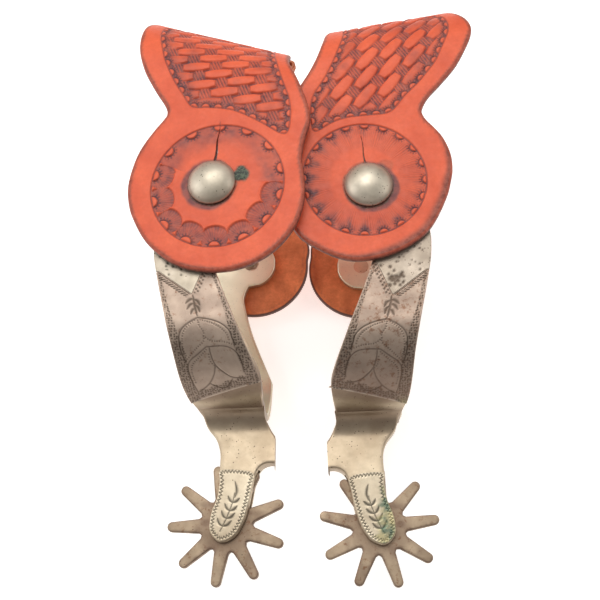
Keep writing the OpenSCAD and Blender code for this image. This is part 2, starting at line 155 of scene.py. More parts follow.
def arc(cx, cy, r, start, end, step=1.0):
    """Points on an arc, from one angle to another in degrees, about STEP mm apart."""
    count = max(3, int(abs(math.radians(end - start)) * r / step))
    a = np.radians(np.linspace(start, end, count))
    return np.column_stack([cx + r * np.cos(a), cy + r * np.sin(a)])


def resample(points, spacing, closed=True):
    """The same line with points SPACING apart."""
    p = np.asarray(points, float)
    if closed:
        p = np.vstack([p, p[:1]])
    run = np.concatenate([[0], np.cumsum(np.linalg.norm(np.diff(p, axis=0), axis=1))])
    count = max(4, int(round(run[-1] / spacing)))
    at = np.linspace(0, run[-1], count + 1)
    line = np.column_stack([np.interp(at, run, p[:, 0]), np.interp(at, run, p[:, 1])])
    return line[:-1] if closed else line


def turned(points, degrees):
    """Flat points turned anticlockwise about the origin."""
    x, y = points[:, 0], points[:, 1]
    c, s = math.cos(math.radians(degrees)), math.sin(math.radians(degrees))
    return np.column_stack([x * c - y * s, x * s + y * c])


def anticlockwise(loop):
    """The loop, reversed if it runs clockwise."""
    x, y = loop[:, 0], loop[:, 1]
    area = np.sum(x * np.roll(y, -1) - y * np.roll(x, -1))
    return loop if area > 0 else loop[::-1]


def outline_through(points, steps, spacing):
    """A smooth anticlockwise outline through the points, with points SPACING apart."""
    return anticlockwise(resample(smooth(points, steps), spacing))


def rounded_box(half_width, low, high, corner, spacing):
    """A box from LOW to HIGH with round corners, anticlockwise."""
    top, bottom, across = high - corner, low + corner, half_width - corner
    corners = ((across, top, 0), (-across, top, 90), (-across, bottom, 180), (across, bottom, 270))
    return np.vstack([arc(x, y, corner, start, start + 90, spacing) for x, y, start in corners])


def inset(loop, distance):
    """The loop moved into the material: inward for an outline, outward for a hole."""
    d = np.roll(loop, -1, axis=0) - np.roll(loop, 1, axis=0)
    d /= np.maximum(np.linalg.norm(d, axis=1), 1e-9)[:, None]
    return loop - np.column_stack([d[:, 1], -d[:, 0]]) * distance


def signed_distance(points, loop):
    """Distance of each point to the loop, positive inside it."""
    best = np.full(len(points), 1e12)
    inside = np.zeros(len(points), bool)
    px, py = points[:, 0], points[:, 1]
    for a, b in zip(loop, np.roll(loop, -1, axis=0)):
        dx, dy = b - a
        qx, qy = px - a[0], py - a[1]
        t = np.clip((qx * dx + qy * dy) / max(dx * dx + dy * dy, 1e-12), 0, 1)
        best = np.minimum(best, (qx - t * dx) ** 2 + (qy - t * dy) ** 2)
        if a[1] != b[1]:
            inside ^= ((a[1] > py) != (b[1] > py)) & (qx < qy * dx / dy)
    return np.where(inside, 1, -1) * np.sqrt(best)


def line_distance(points, line):
    """(distance to the open line, place along it) of each point."""
    best = np.full(len(points), 1e12)
    along = np.zeros(len(points))
    run = 0.0
    for a, b in zip(line[:-1], line[1:]):
        d = b - a
        length = max(float(np.hypot(*d)), 1e-9)
        q = points - a
        t = np.clip(q @ d / length ** 2, 0, 1)
        gap = np.sum((q - t[:, None] * d) ** 2, axis=1)
        nearer = gap < best
        best = np.where(nearer, gap, best)
        along = np.where(nearer, run + t * length, along)
        run += length
    return np.sqrt(best), along


def step(a, b, x):
    """0 at a, 1 at b and smooth between; a may be above b."""
    t = np.clip((x - a) / (b - a), 0, 1)
    return t * t * (3 - 2 * t)


def groove(d, width):
    """A soft furrow: 1 where D is 0, fading out over about WIDTH."""
    return np.exp(-(d / width) ** 2)


def teeth(place, pitch, low=-0.2, high=0.5):
    """A row of teeth: 1 on each crest of a wave and 0 in its hollows."""
    return step(low, high, np.cos(2 * np.pi * place / pitch))


def clouds(x, y, size, seed=0):
    """Soft random patches SIZE across, 0 to 1."""
    table = np.random.default_rng(seed).random((CELLS, CELLS))
    gx, gy = x / size + 200.3, y / size + 200.7
    i, j = np.floor(gx).astype(int), np.floor(gy).astype(int)
    fx, fy = step(0, 1, gx - i), step(0, 1, gy - j)
    low, high = (table[i % CELLS, row % CELLS] * (1 - fx) + table[(i + 1) % CELLS, row % CELLS] * fx
                 for row in (j, j + 1))
    return low * (1 - fy) + high * fy


def grid(loop, spacing, angle=0.0):
    """A square grid of points over the loop's box, turned by ANGLE."""
    middle = (loop.min(0) + loop.max(0)) / 2
    reach = np.linalg.norm(loop.max(0) - loop.min(0)) / 2
    row = np.arange(-reach, reach, spacing)
    across, up = np.meshgrid(row, row)
    return turned(np.column_stack([across.ravel(), up.ravel()]), angle) + middle


def polar_grid(cx, cy, inner, outer, spacing):
    """Points on rings about a centre, from one radius to another."""
    rings = [arc(cx, cy, r, 0, 360 * (1 - spacing / (2 * math.pi * r)), spacing)
             for r in np.arange(inner, outer, spacing)]
    return np.vstack(rings)


# ---------------------------------------------------------------- plates
def rim_profile(thickness, edge, steps=4):
    """(inset, height) pairs of a rounded rim, from the lower face to the upper one."""
    quarter = np.radians(np.linspace(-90, 0, steps + 1))
    low = [(edge * (1 - math.cos(a)), edge * (1 + math.sin(a))) for a in quarter]
    return low + [(i, thickness - h) for i, h in low[::-1]]


def cap(loops, extra):
    """Triangles over a face whose first loop is its outline, with EXTRA points inside."""
    coords = [tuple(p) for loop in loops for p in loop] + [tuple(p) for p in extra]
    starts = np.cumsum([0] + [len(loop) for loop in loops])
    edges = [(int(s + i), int(s + (i + 1) % len(loop)))
             for s, loop in zip(starts[1:], loops[1:]) for i in range(len(loop))]
    outline = list(range(len(loops[0])))
    made = delaunay_2d_cdt([Vector(c) for c in coords], edges, [outline], 1, TINY)
    back = [o[0] if o else -1 for o in made[3]]
    faces = np.array([[back[i] for i in f] for f in made[2] if len(f) == 3])
    faces = faces[(faces >= 0).all(axis=1)]
    centres = np.array(coords)[faces].mean(axis=1)
    for hole in loops[1:]:
        faces, centres = (a[signed_distance(centres, hole) < 0] for a in (faces, centres))
    return faces


def clear_of(points, loops, margin):
    """The points inside the outline and outside the holes, with room to spare."""
    keep = signed_distance(points, loops[0]) > margin
    points = points[keep]
    for hole in loops[1:]:
        points = points[signed_distance(points, hole) < -margin]
    return points


def plate(outline, thickness, edge, top, holes=(), bottom=None, margin=0.15):
    """A flat plate with rounded rims, as (points, faces). TOP and BOTTOM are points on its two faces.
    A hole is (loop, edge), with the loop drawn clockwise."""
    points, faces, upper, lower = [], [], [], []
    count = 0
    for loop, r in [(outline, edge), *holes]:
        rings = [(inset(loop, i), h) for i, h in rim_profile(thickness, r)]
        n = len(loop)
        for k, (ring, h) in enumerate(rings):
            points.append(np.column_stack([ring, np.full(n, h)]))
            if k:
                a = count + (k - 1) * n + np.arange(n)
                b = count + (k - 1) * n + (np.arange(n) + 1) % n
                faces += np.column_stack([a, b, b + n, a + n]).tolist()
        lower.append((count, rings[0][0]))
        upper.append((count + (len(rings) - 1) * n, rings[-1][0]))
        count += len(rings) * n
    for ends, h, extra, flip in ((upper, thickness, top, False),
                                 (lower, 0.0, top if bottom is None else bottom, True)):
        loops = [ring for _, ring in ends]
        extra = clear_of(extra, loops, margin)
        ids = np.concatenate([np.arange(len(ring)) + s for s, ring in ends]
                             + [np.arange(len(extra)) + count])
        made = ids[cap(loops, extra)]
        faces += (made[:, ::-1] if flip else made).tolist()
        points.append(np.column_stack([extra, np.full(len(extra), h)]))
        count += len(extra)
    return np.vstack(points), faces


def on_top(points, thickness):
    """Which points of a plate lie on its upper face."""
    return points[:, 2] > thickness - TINY


def bands(rings, sides):
    """Faces that join each ring of SIDES points to the next one named."""
    rings = list(rings)
    return [[k * sides + i, k * sides + (i + 1) % sides, m * sides + (i + 1) % sides, m * sides + i]
            for k, m in zip(rings, rings[1:]) for i in range(sides)]


def lathe(profile, sides=96):
    """A turned solid about Z through (radius, height) points that start and end on the axis."""
    points = []
    a = np.linspace(0, 2 * math.pi, sides, endpoint=False)
    rings = profile[1:-1]
    for r, h in rings:
        points.append(np.column_stack([r * np.cos(a), r * np.sin(a), np.full(sides, h)]))
    points.append([[0, 0, profile[0][1]], [0, 0, profile[-1][1]]])
    first, last = len(rings) * sides, len(rings) * sides + 1
    faces = bands(range(len(rings)), sides)
    end = (len(rings) - 1) * sides
    for i in range(sides):
        j = (i + 1) % sides
        faces += [[first, j, i], [end + i, end + j, last]]
    return np.vstack(points), faces


def tube(path, radius, sides=16, closed=False):
    """A round bar along a path; RADIUS may be one number or one for each point."""
    path = np.asarray(path, float)
    n = len(path)
    radius = np.broadcast_to(radius, n)
    if closed:
        tangent = np.roll(path, -1, axis=0) - np.roll(path, 1, axis=0)
    else:
        tangent = np.gradient(path, axis=0)
    tangent /= np.linalg.norm(tangent, axis=1)[:, None]
    side = np.cross(tangent[0], [0.3, 0.5, 0.81])
    points = []
    for t, c, r in zip(tangent, path, radius):
        side = side - t * (side @ t)
        side /= np.linalg.norm(side)
        other = np.cross(t, side)
        a = np.linspace(0, 2 * math.pi, sides, endpoint=False)[:, None]
        points.append(c + r * (np.cos(a) * side + np.sin(a) * other))
    faces = bands([*range(n), 0] if closed else range(n), sides)
    if not closed:
        faces += [list(range(sides))[::-1], list(range((n - 1) * sides, n * sides))]
    return np.vstack(points), faces


def joined(*solids):
    """Several (points, faces) as one."""
    points, faces, count = [], [], 0
    for p, f in solids:
        points.append(p)
        faces += [[i + count for i in face] for face in f]
        count += len(p)
    return np.vstack(points), faces


def add_piece(spur, name, body, node, look, points, faces, marks=None, sharp=SHARP_ANGLE):
    """Makes a piece that rides on a body, stands for a CAD node and carries its marks as attributes."""
    world = spur.world(points)
    tri = np.array([f[:3] for f in faces])
    a, b, c = (world[tri[:, k]] - world.mean(0) for k in range(3))
    if np.sum(np.cross(a, b) * c) < 0:
        faces = [f[::-1] for f in faces]
    mesh = bpy.data.meshes.new(f"{spur.side}_{name}")
    mesh.from_pydata(world.tolist(), [], faces)
    for mark, values in (marks or {}).items():
        mesh.attributes.new(mark, "FLOAT", "POINT").data.foreach_set("value", values.astype(np.float32))
    mesh.shade_smooth()
    if sharp:
        mesh.set_sharp_from_angle(angle=math.radians(sharp))
    mesh.materials.append(look)
    piece = bpy.data.objects.new(mesh.name, mesh)
    bpy.context.scene.collection.objects.link(piece)
    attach(piece, f"{spur.side}_{body}")
    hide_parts(f"{spur.side}_{node}")
    return piece


# ---------------------------------------------------------------- materials
class Look:
    """A Principled material and the nodes that feed it; every method gives back a socket."""

    def __init__(self, name, **sockets):
        self.material = bpy.data.materials.new(name)
        self.material.use_nodes = True
        self.nodes = self.material.node_tree.nodes
        self.shader = self.nodes["Principled BSDF"]
        for socket, value in sockets.items():
            self.shader.inputs[socket.replace("_", " ")].default_value = value
        self.place = self.nodes.new("ShaderNodeTexCoord").outputs["Object"]

    def feed(self, socket, value):
        """Links a socket to this one, or sets it to a number or a colour."""
        if isinstance(value, bpy.types.NodeSocket):
            self.material.node_tree.links.new(value, socket)
        elif isinstance(value, tuple):
            socket.default_value = (*value, 1.0)
        else:
            socket.default_value = value

    def node(self, kind, settings, inputs, output):
        """A new node with its settings and inputs, as the socket of its output."""
        node = self.nodes.new("ShaderNode" + kind)
        for name, value in settings.items():
            setattr(node, name, value)
        for key, value in inputs.items():
            self.feed(node.inputs[key], value)
        return node.outputs[output]

    def noise(self, scale, detail=4.0, rough=0.6, stretch=None):
        """Fractal noise, drawn out along an axis where STRETCH says so."""
        place = self.place if stretch is None else self.stretched(stretch)
        inputs = {"Vector": place, "Scale": scale, "Detail": detail, "Roughness": rough}
        return self.node("TexNoise", {}, inputs, "Fac")

    def stretched(self, scale):
        """The place on the object, scaled by one number for each axis."""
        place = self.node("Mapping", {}, {"Vector": self.place}, "Vector")
        place.node.inputs["Scale"].default_value = scale
        return place

    def cells(self, scale):
        """Distance to the nearest of scattered points."""
        return self.node("TexVoronoi", {}, {"Vector": self.place, "Scale": scale}, "Distance")

    def range(self, value, low, high, to_low=0.0, to_high=1.0):
        """VALUE from LOW..HIGH to TO_LOW..TO_HIGH."""
        return self.node("MapRange", {}, dict(enumerate((value, low, high, to_low, to_high))), "Result")

    def patches(self, scale, detail, low, high, *to):
        """Noise from LOW..HIGH to 0..1, or to the two numbers that follow."""
        return self.range(self.noise(scale, detail), low, high, *to)

    def times(self, a, b):
        """The product of two values."""
        return self.node("Math", {"operation": "MULTIPLY"}, {0: a, 1: b}, 0)

    def mix(self, factor, a, b):
        """Colour A going over to colour B with the factor."""
        return self.node("Mix", {"data_type": "RGBA"}, {"Factor": factor, 6: a, 7: b}, 2)

    def mark(self, name):
        """One of the marks that add_piece stored on the mesh."""
        return self.node("Attribute", {"attribute_name": name}, {}, "Fac")

    def bump(self, height, depth_mm, strength, under=None):
        """A bumpy normal, on top of another one where UNDER names it."""
        inputs = {"Distance": depth_mm * MM, "Strength": strength, "Height": height}
        if under is not None:
            inputs["Normal"] = under
        return self.node("Bump", {}, inputs, "Normal")

    def use(self, **sockets):
        """Feeds the shader, and gives back the finished material."""
        for socket, value in sockets.items():
            self.feed(self.shader.inputs[socket.replace("_", " ")], value)
        return self.material


def tooled_leather():
    """Orange-red strap leather: darker in the stamped recesses, with painted shadows at the weave's bar ends
    and round the dome, brown and burnished at the edge.
    """
    look = Look("tooled_leather", Specular_IOR_Level=0.35)
    broad = look.patches(60, 3, 0.35, 0.7)
    fine = look.patches(700, 5, 0.3, 0.75)
    face = look.mix(broad, (0.68, 0.098, 0.038), (0.83, 0.140, 0.056))
    face = look.mix(look.times(fine, 0.30), face, (0.50, 0.080, 0.034))
    shade = look.mix(look.patches(260, 3, 0.4, 0.62), (0.27, 0.078, 0.062), (0.115, 0.042, 0.048))
    # The stain mark holds real stain in the recesses and also painted shadows.
    colour = look.mix(look.mark("stain_and_shade"), face, shade)
    rim = look.mix(look.patches(500, 4, 0.38, 0.62), (0.060, 0.026, 0.022), (0.24, 0.085, 0.060))
    colour = look.mix(look.mark("edge"), colour, rim)
    # Verdigris, and the painted shadow ring round the dome, take the crust colour.
    crust = look.mix(look.patches(900, 4, 0.42, 0.6), (0.014, 0.020, 0.014), (0.10, 0.13, 0.08))
    colour = look.mix(look.mark("verdigris_and_shade"), colour, crust)
    rough = look.patches(350, 4, 0.3, 0.7, 0.40, 0.56)
    grain = look.bump(look.noise(2600, 4, 0.7), 0.10, 0.35)
    pores = look.bump(look.cells(1500), 0.05, 0.2, grain)
    return look.use(Base_Color=colour, Roughness=rough, Normal=pores)


def brown_leather():
    """Plain saddle leather of the inner straps and keepers."""
    look = Look("brown_leather", Specular_IOR_Level=0.35)
    broad = look.patches(70, 4, 0.35, 0.68)
    face = look.mix(broad, (0.50, 0.150, 0.056), (0.92, 0.300, 0.120))
    speckle = look.patches(800, 5, 0.35, 0.7)
    face = look.mix(look.times(speckle, 0.35), face, (0.40, 0.110, 0.042))
    colour = look.mix(look.mark("edge"), face, (0.135, 0.072, 0.060))
    rough = look.patches(300, 4, 0.3, 0.7, 0.42, 0.6)
    grain = look.bump(look.noise(2200, 4, 0.7), 0.12, 0.4)
    return look.use(Base_Color=colour, Roughness=rough, Normal=grain)


def metal(name, bright, dull, rough, pits=0.0, rust=0.0):
    """Nickel silver or steel: two tones of patina, engraved lines filled dark, pits and freckles of rust,
    brown tarnish mixed with painted shade, and painted light in a pale tint.
    """
    look = Look(name, Metallic=0.85)
    colour = look.mix(look.patches(45, 4, 0.375, 0.625), dull, bright)
    cloudy = look.patches(220, 5, 0.45, 0.75)
    colour = look.mix(look.times(cloudy, 0.3), colour, tuple(0.55 * c for c in dull))
    if pits:
        spots = look.range(look.cells(620), 0.20, 0.12, 0.0, 0.8)
        some = look.patches(160, 2, 0.60 - pits * 0.15, 0.64 - pits * 0.15)
        colour = look.mix(look.times(spots, some), colour, (0.025, 0.018, 0.014))
    if rust:
        freckles = look.range(look.noise(420, 5, 0.7), 0.60 - rust * 0.12, 0.72 - rust * 0.12)
        colour = look.mix(look.times(freckles, 0.75), colour, (0.20, 0.075, 0.025))
    # Dark fill and grime with some painted shade, brown tarnish with painted shade, then painted light.
    colour = look.mix(look.mark("stain_and_shade"), colour, (0.034, 0.031, 0.022))
    colour = look.mix(look.mark("brown_and_shade"), colour, (0.165, 0.100, 0.072))
    colour = look.mix(look.mark("painted_light"), colour, (0.82, 0.86, 0.68))
    crust = look.mix(look.patches(160, 4, 0.40, 0.56), (0.060, 0.125, 0.085), (0.42, 0.37, 0.19))
    colour = look.mix(look.times(look.mark("verdigris_and_shade"), 0.8), colour, crust)
    roughness = look.patches(150, 5, 0.3, 0.7, rough - 0.07, rough + 0.09)
    scratches = look.bump(look.noise(500, 3, 0.6, (1.0, 6.0, 1.0)), 0.015, 0.5)
    wear = look.bump(look.noise(1400, 4, 0.6), 0.03, 0.4, scratches)
    return look.use(Base_Color=colour, Roughness=roughness, Normal=wear)


LEATHER_RED = tooled_leather()
LEATHER_BROWN = brown_leather()
NICKEL = metal("nickel", (0.70, 0.58, 0.42), (0.52, 0.41, 0.285), 0.42, pits=1.0)
ENGRAVED = metal("engraved_nickel", (0.60, 0.48, 0.385), (0.43, 0.335, 0.27), 0.47, rust=0.15)
SPECKLED = metal("engraved_nickel_rusty", (0.60, 0.48, 0.385), (0.43, 0.335, 0.27), 0.47, rust=0.6)
POLISHED = metal("polished_nickel", (0.58, 0.515, 0.425), (0.44, 0.38, 0.30), 0.46, pits=0.5)
CHEEK = metal("cheek_nickel", (0.66, 0.57, 0.43), (0.50, 0.41, 0.295), 0.40, pits=0.3)
DOME = metal("dome_nickel", (0.68, 0.61, 0.50), (0.50, 0.44, 0.345), 0.50, pits=0.6)
RUSTED = metal("rusted_steel", (0.50, 0.385, 0.27), (0.35, 0.262, 0.18), 0.50, pits=0.2, rust=0.35)
STEEL = metal("steel", (0.45, 0.42, 0.38), (0.30, 0.27, 0.24), 0.45, rust=0.3)


# ---------------------------------------------------------------- camera, light and floor
def softbox(name, where, size, power, colour=(1, 1, 1)):
    """An area light that faces the middle of the spurs."""
    lamp = bpy.data.lights.new(name, "AREA")
    lamp.shape = "RECTANGLE"
    lamp.size, lamp.size_y = size
    lamp.energy = power
    lamp.color = colour
    box = bpy.data.objects.new(name, lamp)
    box.location = where
    box.rotation_euler = (Vector((0, 0, 0.03)) - Vector(where)).to_track_quat("-Z", "Y").to_euler()
    bpy.context.scene.collection.objects.link(box)


def camera():
    """The camera, above the rowels and looking down along the straps."""
    left, right = (Vector(JOINTS[side + "_strap_swing"]["pos_m"]) for side in ("left", "right"))
    aim_from_buttons = Vector((-0.0005, -0.0316, -0.0136))
    aim = (left + right) / 2 + aim_from_buttons
    elevation, azimuth, tilt = (math.radians(a) for a in (60.76, -1.47, -2.51))
    distance = 0.5272
    back = Vector((-math.sin(azimuth) * math.cos(elevation), -math.cos(azimuth) * math.cos(elevation),
                   math.sin(elevation)))
    right = Vector((math.cos(azimuth), -math.sin(azimuth), 0))
    up = back.cross(right)
    right, up = right * math.cos(tilt) + up * math.sin(tilt), up * math.cos(tilt) - right * math.sin(tilt)
    eye = bpy.data.objects.new("camera", bpy.data.cameras.new("camera"))
    eye.data.lens = 63.7
    eye.data.sensor_width = 36.0
    eye.data.clip_start = 0.01
    turn = Matrix((right, up, back)).transposed()
    eye.matrix_world = Matrix.Translation(aim + back * distance) @ turn.to_4x4()
    bpy.context.scene.collection.objects.link(eye)
    bpy.context.scene.camera = eye


def light():
    """An even pale surround and three softboxes."""
    bpy.context.scene.view_settings.view_transform = "Standard"
    world = bpy.data.worlds.new("studio")
    world.use_nodes = True
    background = world.node_tree.nodes["Background"]
    background.inputs["Color"].default_value = WARM_WHITE
    background.inputs["Strength"].default_value = 0.34
    bpy.context.scene.world = world
    softbox("top_softbox", (-0.10, 0.35, 0.95), (0.9, 0.7), 6.6, (1.0, 0.985, 0.96))
    softbox("left_softbox", (-0.95, 0.05, 0.55), (0.8, 0.6), 3.2)
    softbox("right_softbox", (0.95, 0.10, 0.50), (0.8, 0.6), 2.4)


def paper():
    """The pale paper that the spurs lie on."""
    mesh = bpy.data.meshes.new("floor")
    reach = 6.0
    mesh.from_pydata([(-reach, -reach, 0), (reach, -reach, 0), (reach, reach, 0), (-reach, reach, 0)],
                     [], [(0, 1, 2, 3)])
    look = Look("floor_paper", Roughness=0.9, Specular_IOR_Level=0.1, Emission_Strength=0.62,
                Emission_Color=WARM_WHITE)
    mesh.materials.append(look.use(Base_Color=(0.80, 0.80, 0.79)))
    floor = bpy.data.objects.new("floor", mesh)
    bpy.context.scene.collection.objects.link(floor)


camera()
light()
paper()


# ---------------------------------------------------------------- the heel band and what is on it
class HeelPath:
    """The band laid out flat: S is Y on the outer arm and goes on down round the heel to the inner arm."""

    def __init__(self):
        self.angles = np.radians(np.linspace(90, -90, 361))
        depth, half = HEEL_DEPTH, HALF_IN + BAND_T
        y = HEEL_DEPTH - depth * np.cos(self.angles)
        z = half * np.sin(self.angles)
        self.run = np.concatenate([[0], np.cumsum(np.hypot(np.diff(y), np.diff(z)))])
        self.y, self.total = y, self.run[-1]

    def s_of(self, y):
        """S of a point on the outer arm at Y."""
        bent = self.y[: len(self.y) // 2 + 1]
        s = HEEL_DEPTH - np.interp(-np.asarray(y, float), -bent, self.run[: len(bent)])
        return np.where(np.asarray(y) > HEEL_DEPTH, y, s)

    def y_of(self, s):
        """Y on either arm at S."""
        y = np.interp(HEEL_DEPTH - s, self.run, self.y)
        y = np.where(s > HEEL_DEPTH, s, y)
        return np.where(s < HEEL_DEPTH - self.total, 2 * HEEL_DEPTH - self.total - s, y)

    def bend(self, s, x, d):
        """(S, X, distance outside the band's inner face) to the spur's frame."""
        a = np.interp(HEEL_DEPTH - s, self.run, self.angles)
        y = HEEL_DEPTH - (HEEL_DEPTH - BAND_T + d) * np.cos(a)
        z = (HALF_IN + d) * np.sin(a)
        past = np.maximum(s - HEEL_DEPTH, 0) + np.maximum(HEEL_DEPTH - self.total - s, 0)
        return np.column_stack([x, y + past, z])


HEEL = HeelPath()

# The heel leans: its edges are cut to slants through the least and the most X at these two Z.
# The lower slant fades out toward the arms, and the outer arm has no limit.
LEAN_Z = (-62, 20)
LEAST_X, MOST_X = (-7.5, -13.4), (8.6, 18.9)
LEAST_X_PAST, LEAN_END_Y = -17.2, 14
NO_LIMIT = 60


def band_edges(y):
    """The band's lower and upper edge, in X, at Y."""
    side = smooth(BAND_SIDE, 12)
    tip = int(np.argmax(side[:, 1]))
    lower, upper = side[: tip + 1], side[tip:]
    lower = lower[lower[:, 1] > -5.5]
    upper = upper[np.argsort(upper[:, 1], kind="stable")]
    y = np.asarray(y, float)
    low = np.interp(y, lower[:, 1], lower[:, 0])
    high = np.interp(y, upper[:, 1], upper[:, 0])
    half = np.sqrt(np.maximum(PADDLE_R ** 2 - (y - BUTTON_Y) ** 2, 0))
    on_paddle = np.abs(y - BUTTON_Y) < PADDLE_R
    low = np.where(on_paddle, np.minimum(low, BUTTON_X - half), low)
    high = np.where(on_paddle, np.maximum(high, BUTTON_X + half), high)
    past = y > BUTTON_Y + 6
    return np.where(past, BUTTON_X - half, low), np.where(past, BUTTON_X + half, high)


def heel_lean(y, z):
    """The least and the most X that the heel and the inner arm reach at (Y, Z)."""
    free = z > LEAN_Z[1]
    near = np.interp(z, LEAN_Z, LEAST_X)
    least = near + (LEAST_X_PAST - near) * np.clip(y / LEAN_END_Y, 0, 1)
    return (np.where(free | (y > LEAN_END_Y), -NO_LIMIT, least),
            np.where(free, NO_LIMIT, np.interp(z, LEAN_Z, MOST_X)))


def heel_band(spur):
    """The U-shaped band, drawn flat and then bent round the heel."""
    end = BUTTON_Y + PADDLE_R
    paddle = BUTTON_Y - HEEL_DEPTH + PADDLE_R * np.sin(np.radians(np.arange(0, 90, 3)))
    near = HEEL_DEPTH + np.concatenate([np.arange(0, BUTTON_Y - HEEL_DEPTH, 0.8), paddle])
    heel = np.arange(HEEL_DEPTH - HEEL.total, HEEL_DEPTH, 0.8)
    far = (2 * HEEL_DEPTH - HEEL.total - near)[::-1]
    s = np.concatenate([far, heel[1:], near])
    low, high = band_edges(HEEL.y_of(s))
    tips = HEEL.s_of(end), 2 * HEEL_DEPTH - HEEL.total - end
    on_band = HEEL.bend(s, high, 0)
    least, most = heel_lean(on_band[:, 1], on_band[:, 2])
    low, high = np.maximum(low, least), np.minimum(high, most)
    outline = np.vstack([np.column_stack([s, low]), [[tips[0], BUTTON_X]],
                         np.column_stack([s, high])[::-1], [[tips[1], BUTTON_X]]])
    outline = anticlockwise(resample(outline, 0.7))
    points, faces = plate(outline, BAND_T, 0.6, grid(outline, 1.3))
    s, x, height = points.T
    outside = height > 0.5
    # Browner round the heel, where the band turns away from the light: painted shade, with a lighter streak
    # across it as a painted highlight.
    brown_and_shade = 0.74 * step(24, 6, s) * step(-54, -30, s) * outside
    highlight_streak = 1 - 0.6 * groove(s + 10 - 0.12 * x + 3 * clouds(s, x, 8, 31), 3.6)
    # The far arm's inner face is painted paler: painted light against the pink light bounced onto it.
    add_piece(spur, "heel_band_body", "spur", "heel_band", NICKEL, HEEL.bend(s, x, height), faces,
              {"brown_and_shade": brown_and_shade * highlight_streak, "painted_light": 0.7 * step(-25, -60, s) * ~outside})


def on_arm(points):
    """(X, Y) points of the outer arm, laid out flat as (S, X)."""
    p = np.asarray(points, float)
    return np.column_stack([HEEL.s_of(p[:, 1]), p[:, 0]])


# The raised line at the overlay's end, and the three corners of the notch that the tab fills
END_Y, END_LEAN = 4.8, math.tan(math.radians(8.7))
TAB_TIP = (-9.4, 44.0)
TAB_LEFT, TAB_RIGHT = (-25.1, 55.6), (-1.9, 63.5)

# Engraved curves on the outer arm, as (X, Y). Each is a solid line or a row of pricks.
ARM_LINES = [
    [(-6.3, 32.6), (-10.6, 30.2), (-13.7, 27.3), (-14.6, 23.6), (-14, 19), (-12.6, 15.6)],
    [(-6.3, 32.6), (-0.8, 31.6), (4.3, 29.6), (7.9, 26.5), (9.3, 23.2), (10.4, 20.9)],
    [(-2.7, 20.4), (4, 20.6), (8, 19.8), (10.8, 17.8), (12.5, 14.8), (12.9, 11.3)],
    [(-2.7, 20.4), (-6.6, 17.9), (-10.6, 15.5), (-11.9, 12.7), (-11, 8.8), (-9.6, 5.6)],
    [(-1.2, 19.9), (-0.9, 17.8), (0.6, 14), (3.7, 11.5), (7.4, 9.7), (12.2, 9.4)],
    [(0.5, 13.6), (-0.6, 10.8), (-3.5, 7.9), (-7.9, 5.9)],
    [(-3, 7.9), (0.3, 6.8), (3.9, 6.7), (7.3, 9.1)]]
ARM_PRICKS = [
    [(-7.6, 31.4), (-11.4, 28.4), (-13, 25), (-13.1, 20.6), (-11.6, 17)],
    [(-5, 31.6), (-0.6, 30.3), (3.4, 28.3), (6.6, 25.4), (8, 22.6)],
    [(-3.5, 24.6), (-3.6, 22.7), (-7.4, 19.7), (-10.9, 16.8), (-12.1, 15.6)],
    [(-3.5, 24.6), (0, 22.6), (5.1, 22.2), (10.6, 20.6)],
    [(-6.3, 32.6), (-5.4, 29), (-3.6, 26.6), (-3.5, 24.6)],
    [(-2.7, 19.4), (-6, 16.8), (-9.4, 14.4), (-10.4, 11.6), (-9.6, 8.4)],
    [(-1.8, 17.6), (-1.2, 15), (0.5, 13.6)]]
ARM_LEAVES = [
    [(-8.9, 43.4), (-7.9, 38.6), (-6.4, 33.4)], [(-8.6, 41.6), (-10.4, 41.2), (-12, 39.6)],
    [(-8, 39.6), (-10, 38.8), (-11.2, 36.8)], [(-8.3, 41.2), (-6.6, 40.4), (-5.4, 38.4)],
    [(-7.7, 38.6), (-6.2, 37.4), (-5.4, 35.2)], [(-7.4, 37.2), (-8.8, 36.2), (-9.4, 34.4)]]


def strokes(points, lines, width, pitch=0.0, taper=False):
    """How deep a graver has cut at each point, 0 to 1, for lines or rows of pricks."""
    cut = np.zeros(len(points))
    for line in lines:
        line = smooth(line, 5, closed=False)
        d, along = line_distance(points, line)
        length = np.sum(np.linalg.norm(np.diff(line, axis=0), axis=1))
        swell = 0.45 + 1.1 * np.sin(np.pi * np.clip(along / length, 0, 1)) if taper else 1
        stroke = groove(d, width * swell)
        if pitch:
            stroke = stroke * teeth(along, pitch, -0.35, 0.35)
        cut = np.maximum(cut, stroke)
    return cut


def stipple(points, pitch, size, seed):
    """Round pricks scattered on a close lattice, 0 to 1."""
    shift = np.random.default_rng(seed).uniform(-0.3, 0.3, (CELLS, CELLS, 2))
    cell = np.floor(points / pitch)
    nearest = np.full(len(points), 9.0)
    for i in (-1, 0, 1):
        for j in (-1, 0, 1):
            at = cell + (i, j)
            k = at.astype(int) % CELLS
            spot = (at + 0.5 + shift[k[:, 0], k[:, 1]]) * pitch
            nearest = np.minimum(nearest, np.hypot(*(points - spot).T))
    return step(size, size * 0.45, nearest)


def end_line_y(x):
    """Y of the raised line that ends the overlay."""
    return END_Y + END_LEAN * x


# How brown the overlay is at a few places along S: partly its own tarnish, partly painted shade that is
# darkest toward the heel's turn
TONE_AT = (4, 13, 25, 40, 60)
OVERLAY_TONE_AND_SHADE = {"left": (0.42, 0.38, 0.26, 0.30, 0.24), "right": (0.62, 0.54, 0.28, 0.42, 0.40)}


def band_edge(which, start, end, spacing):
    """Points on the band's lower edge (0) or upper edge (1), from one Y to another."""
    y = np.arange(start, end, spacing)
    return np.column_stack([band_edges(y)[which], y])


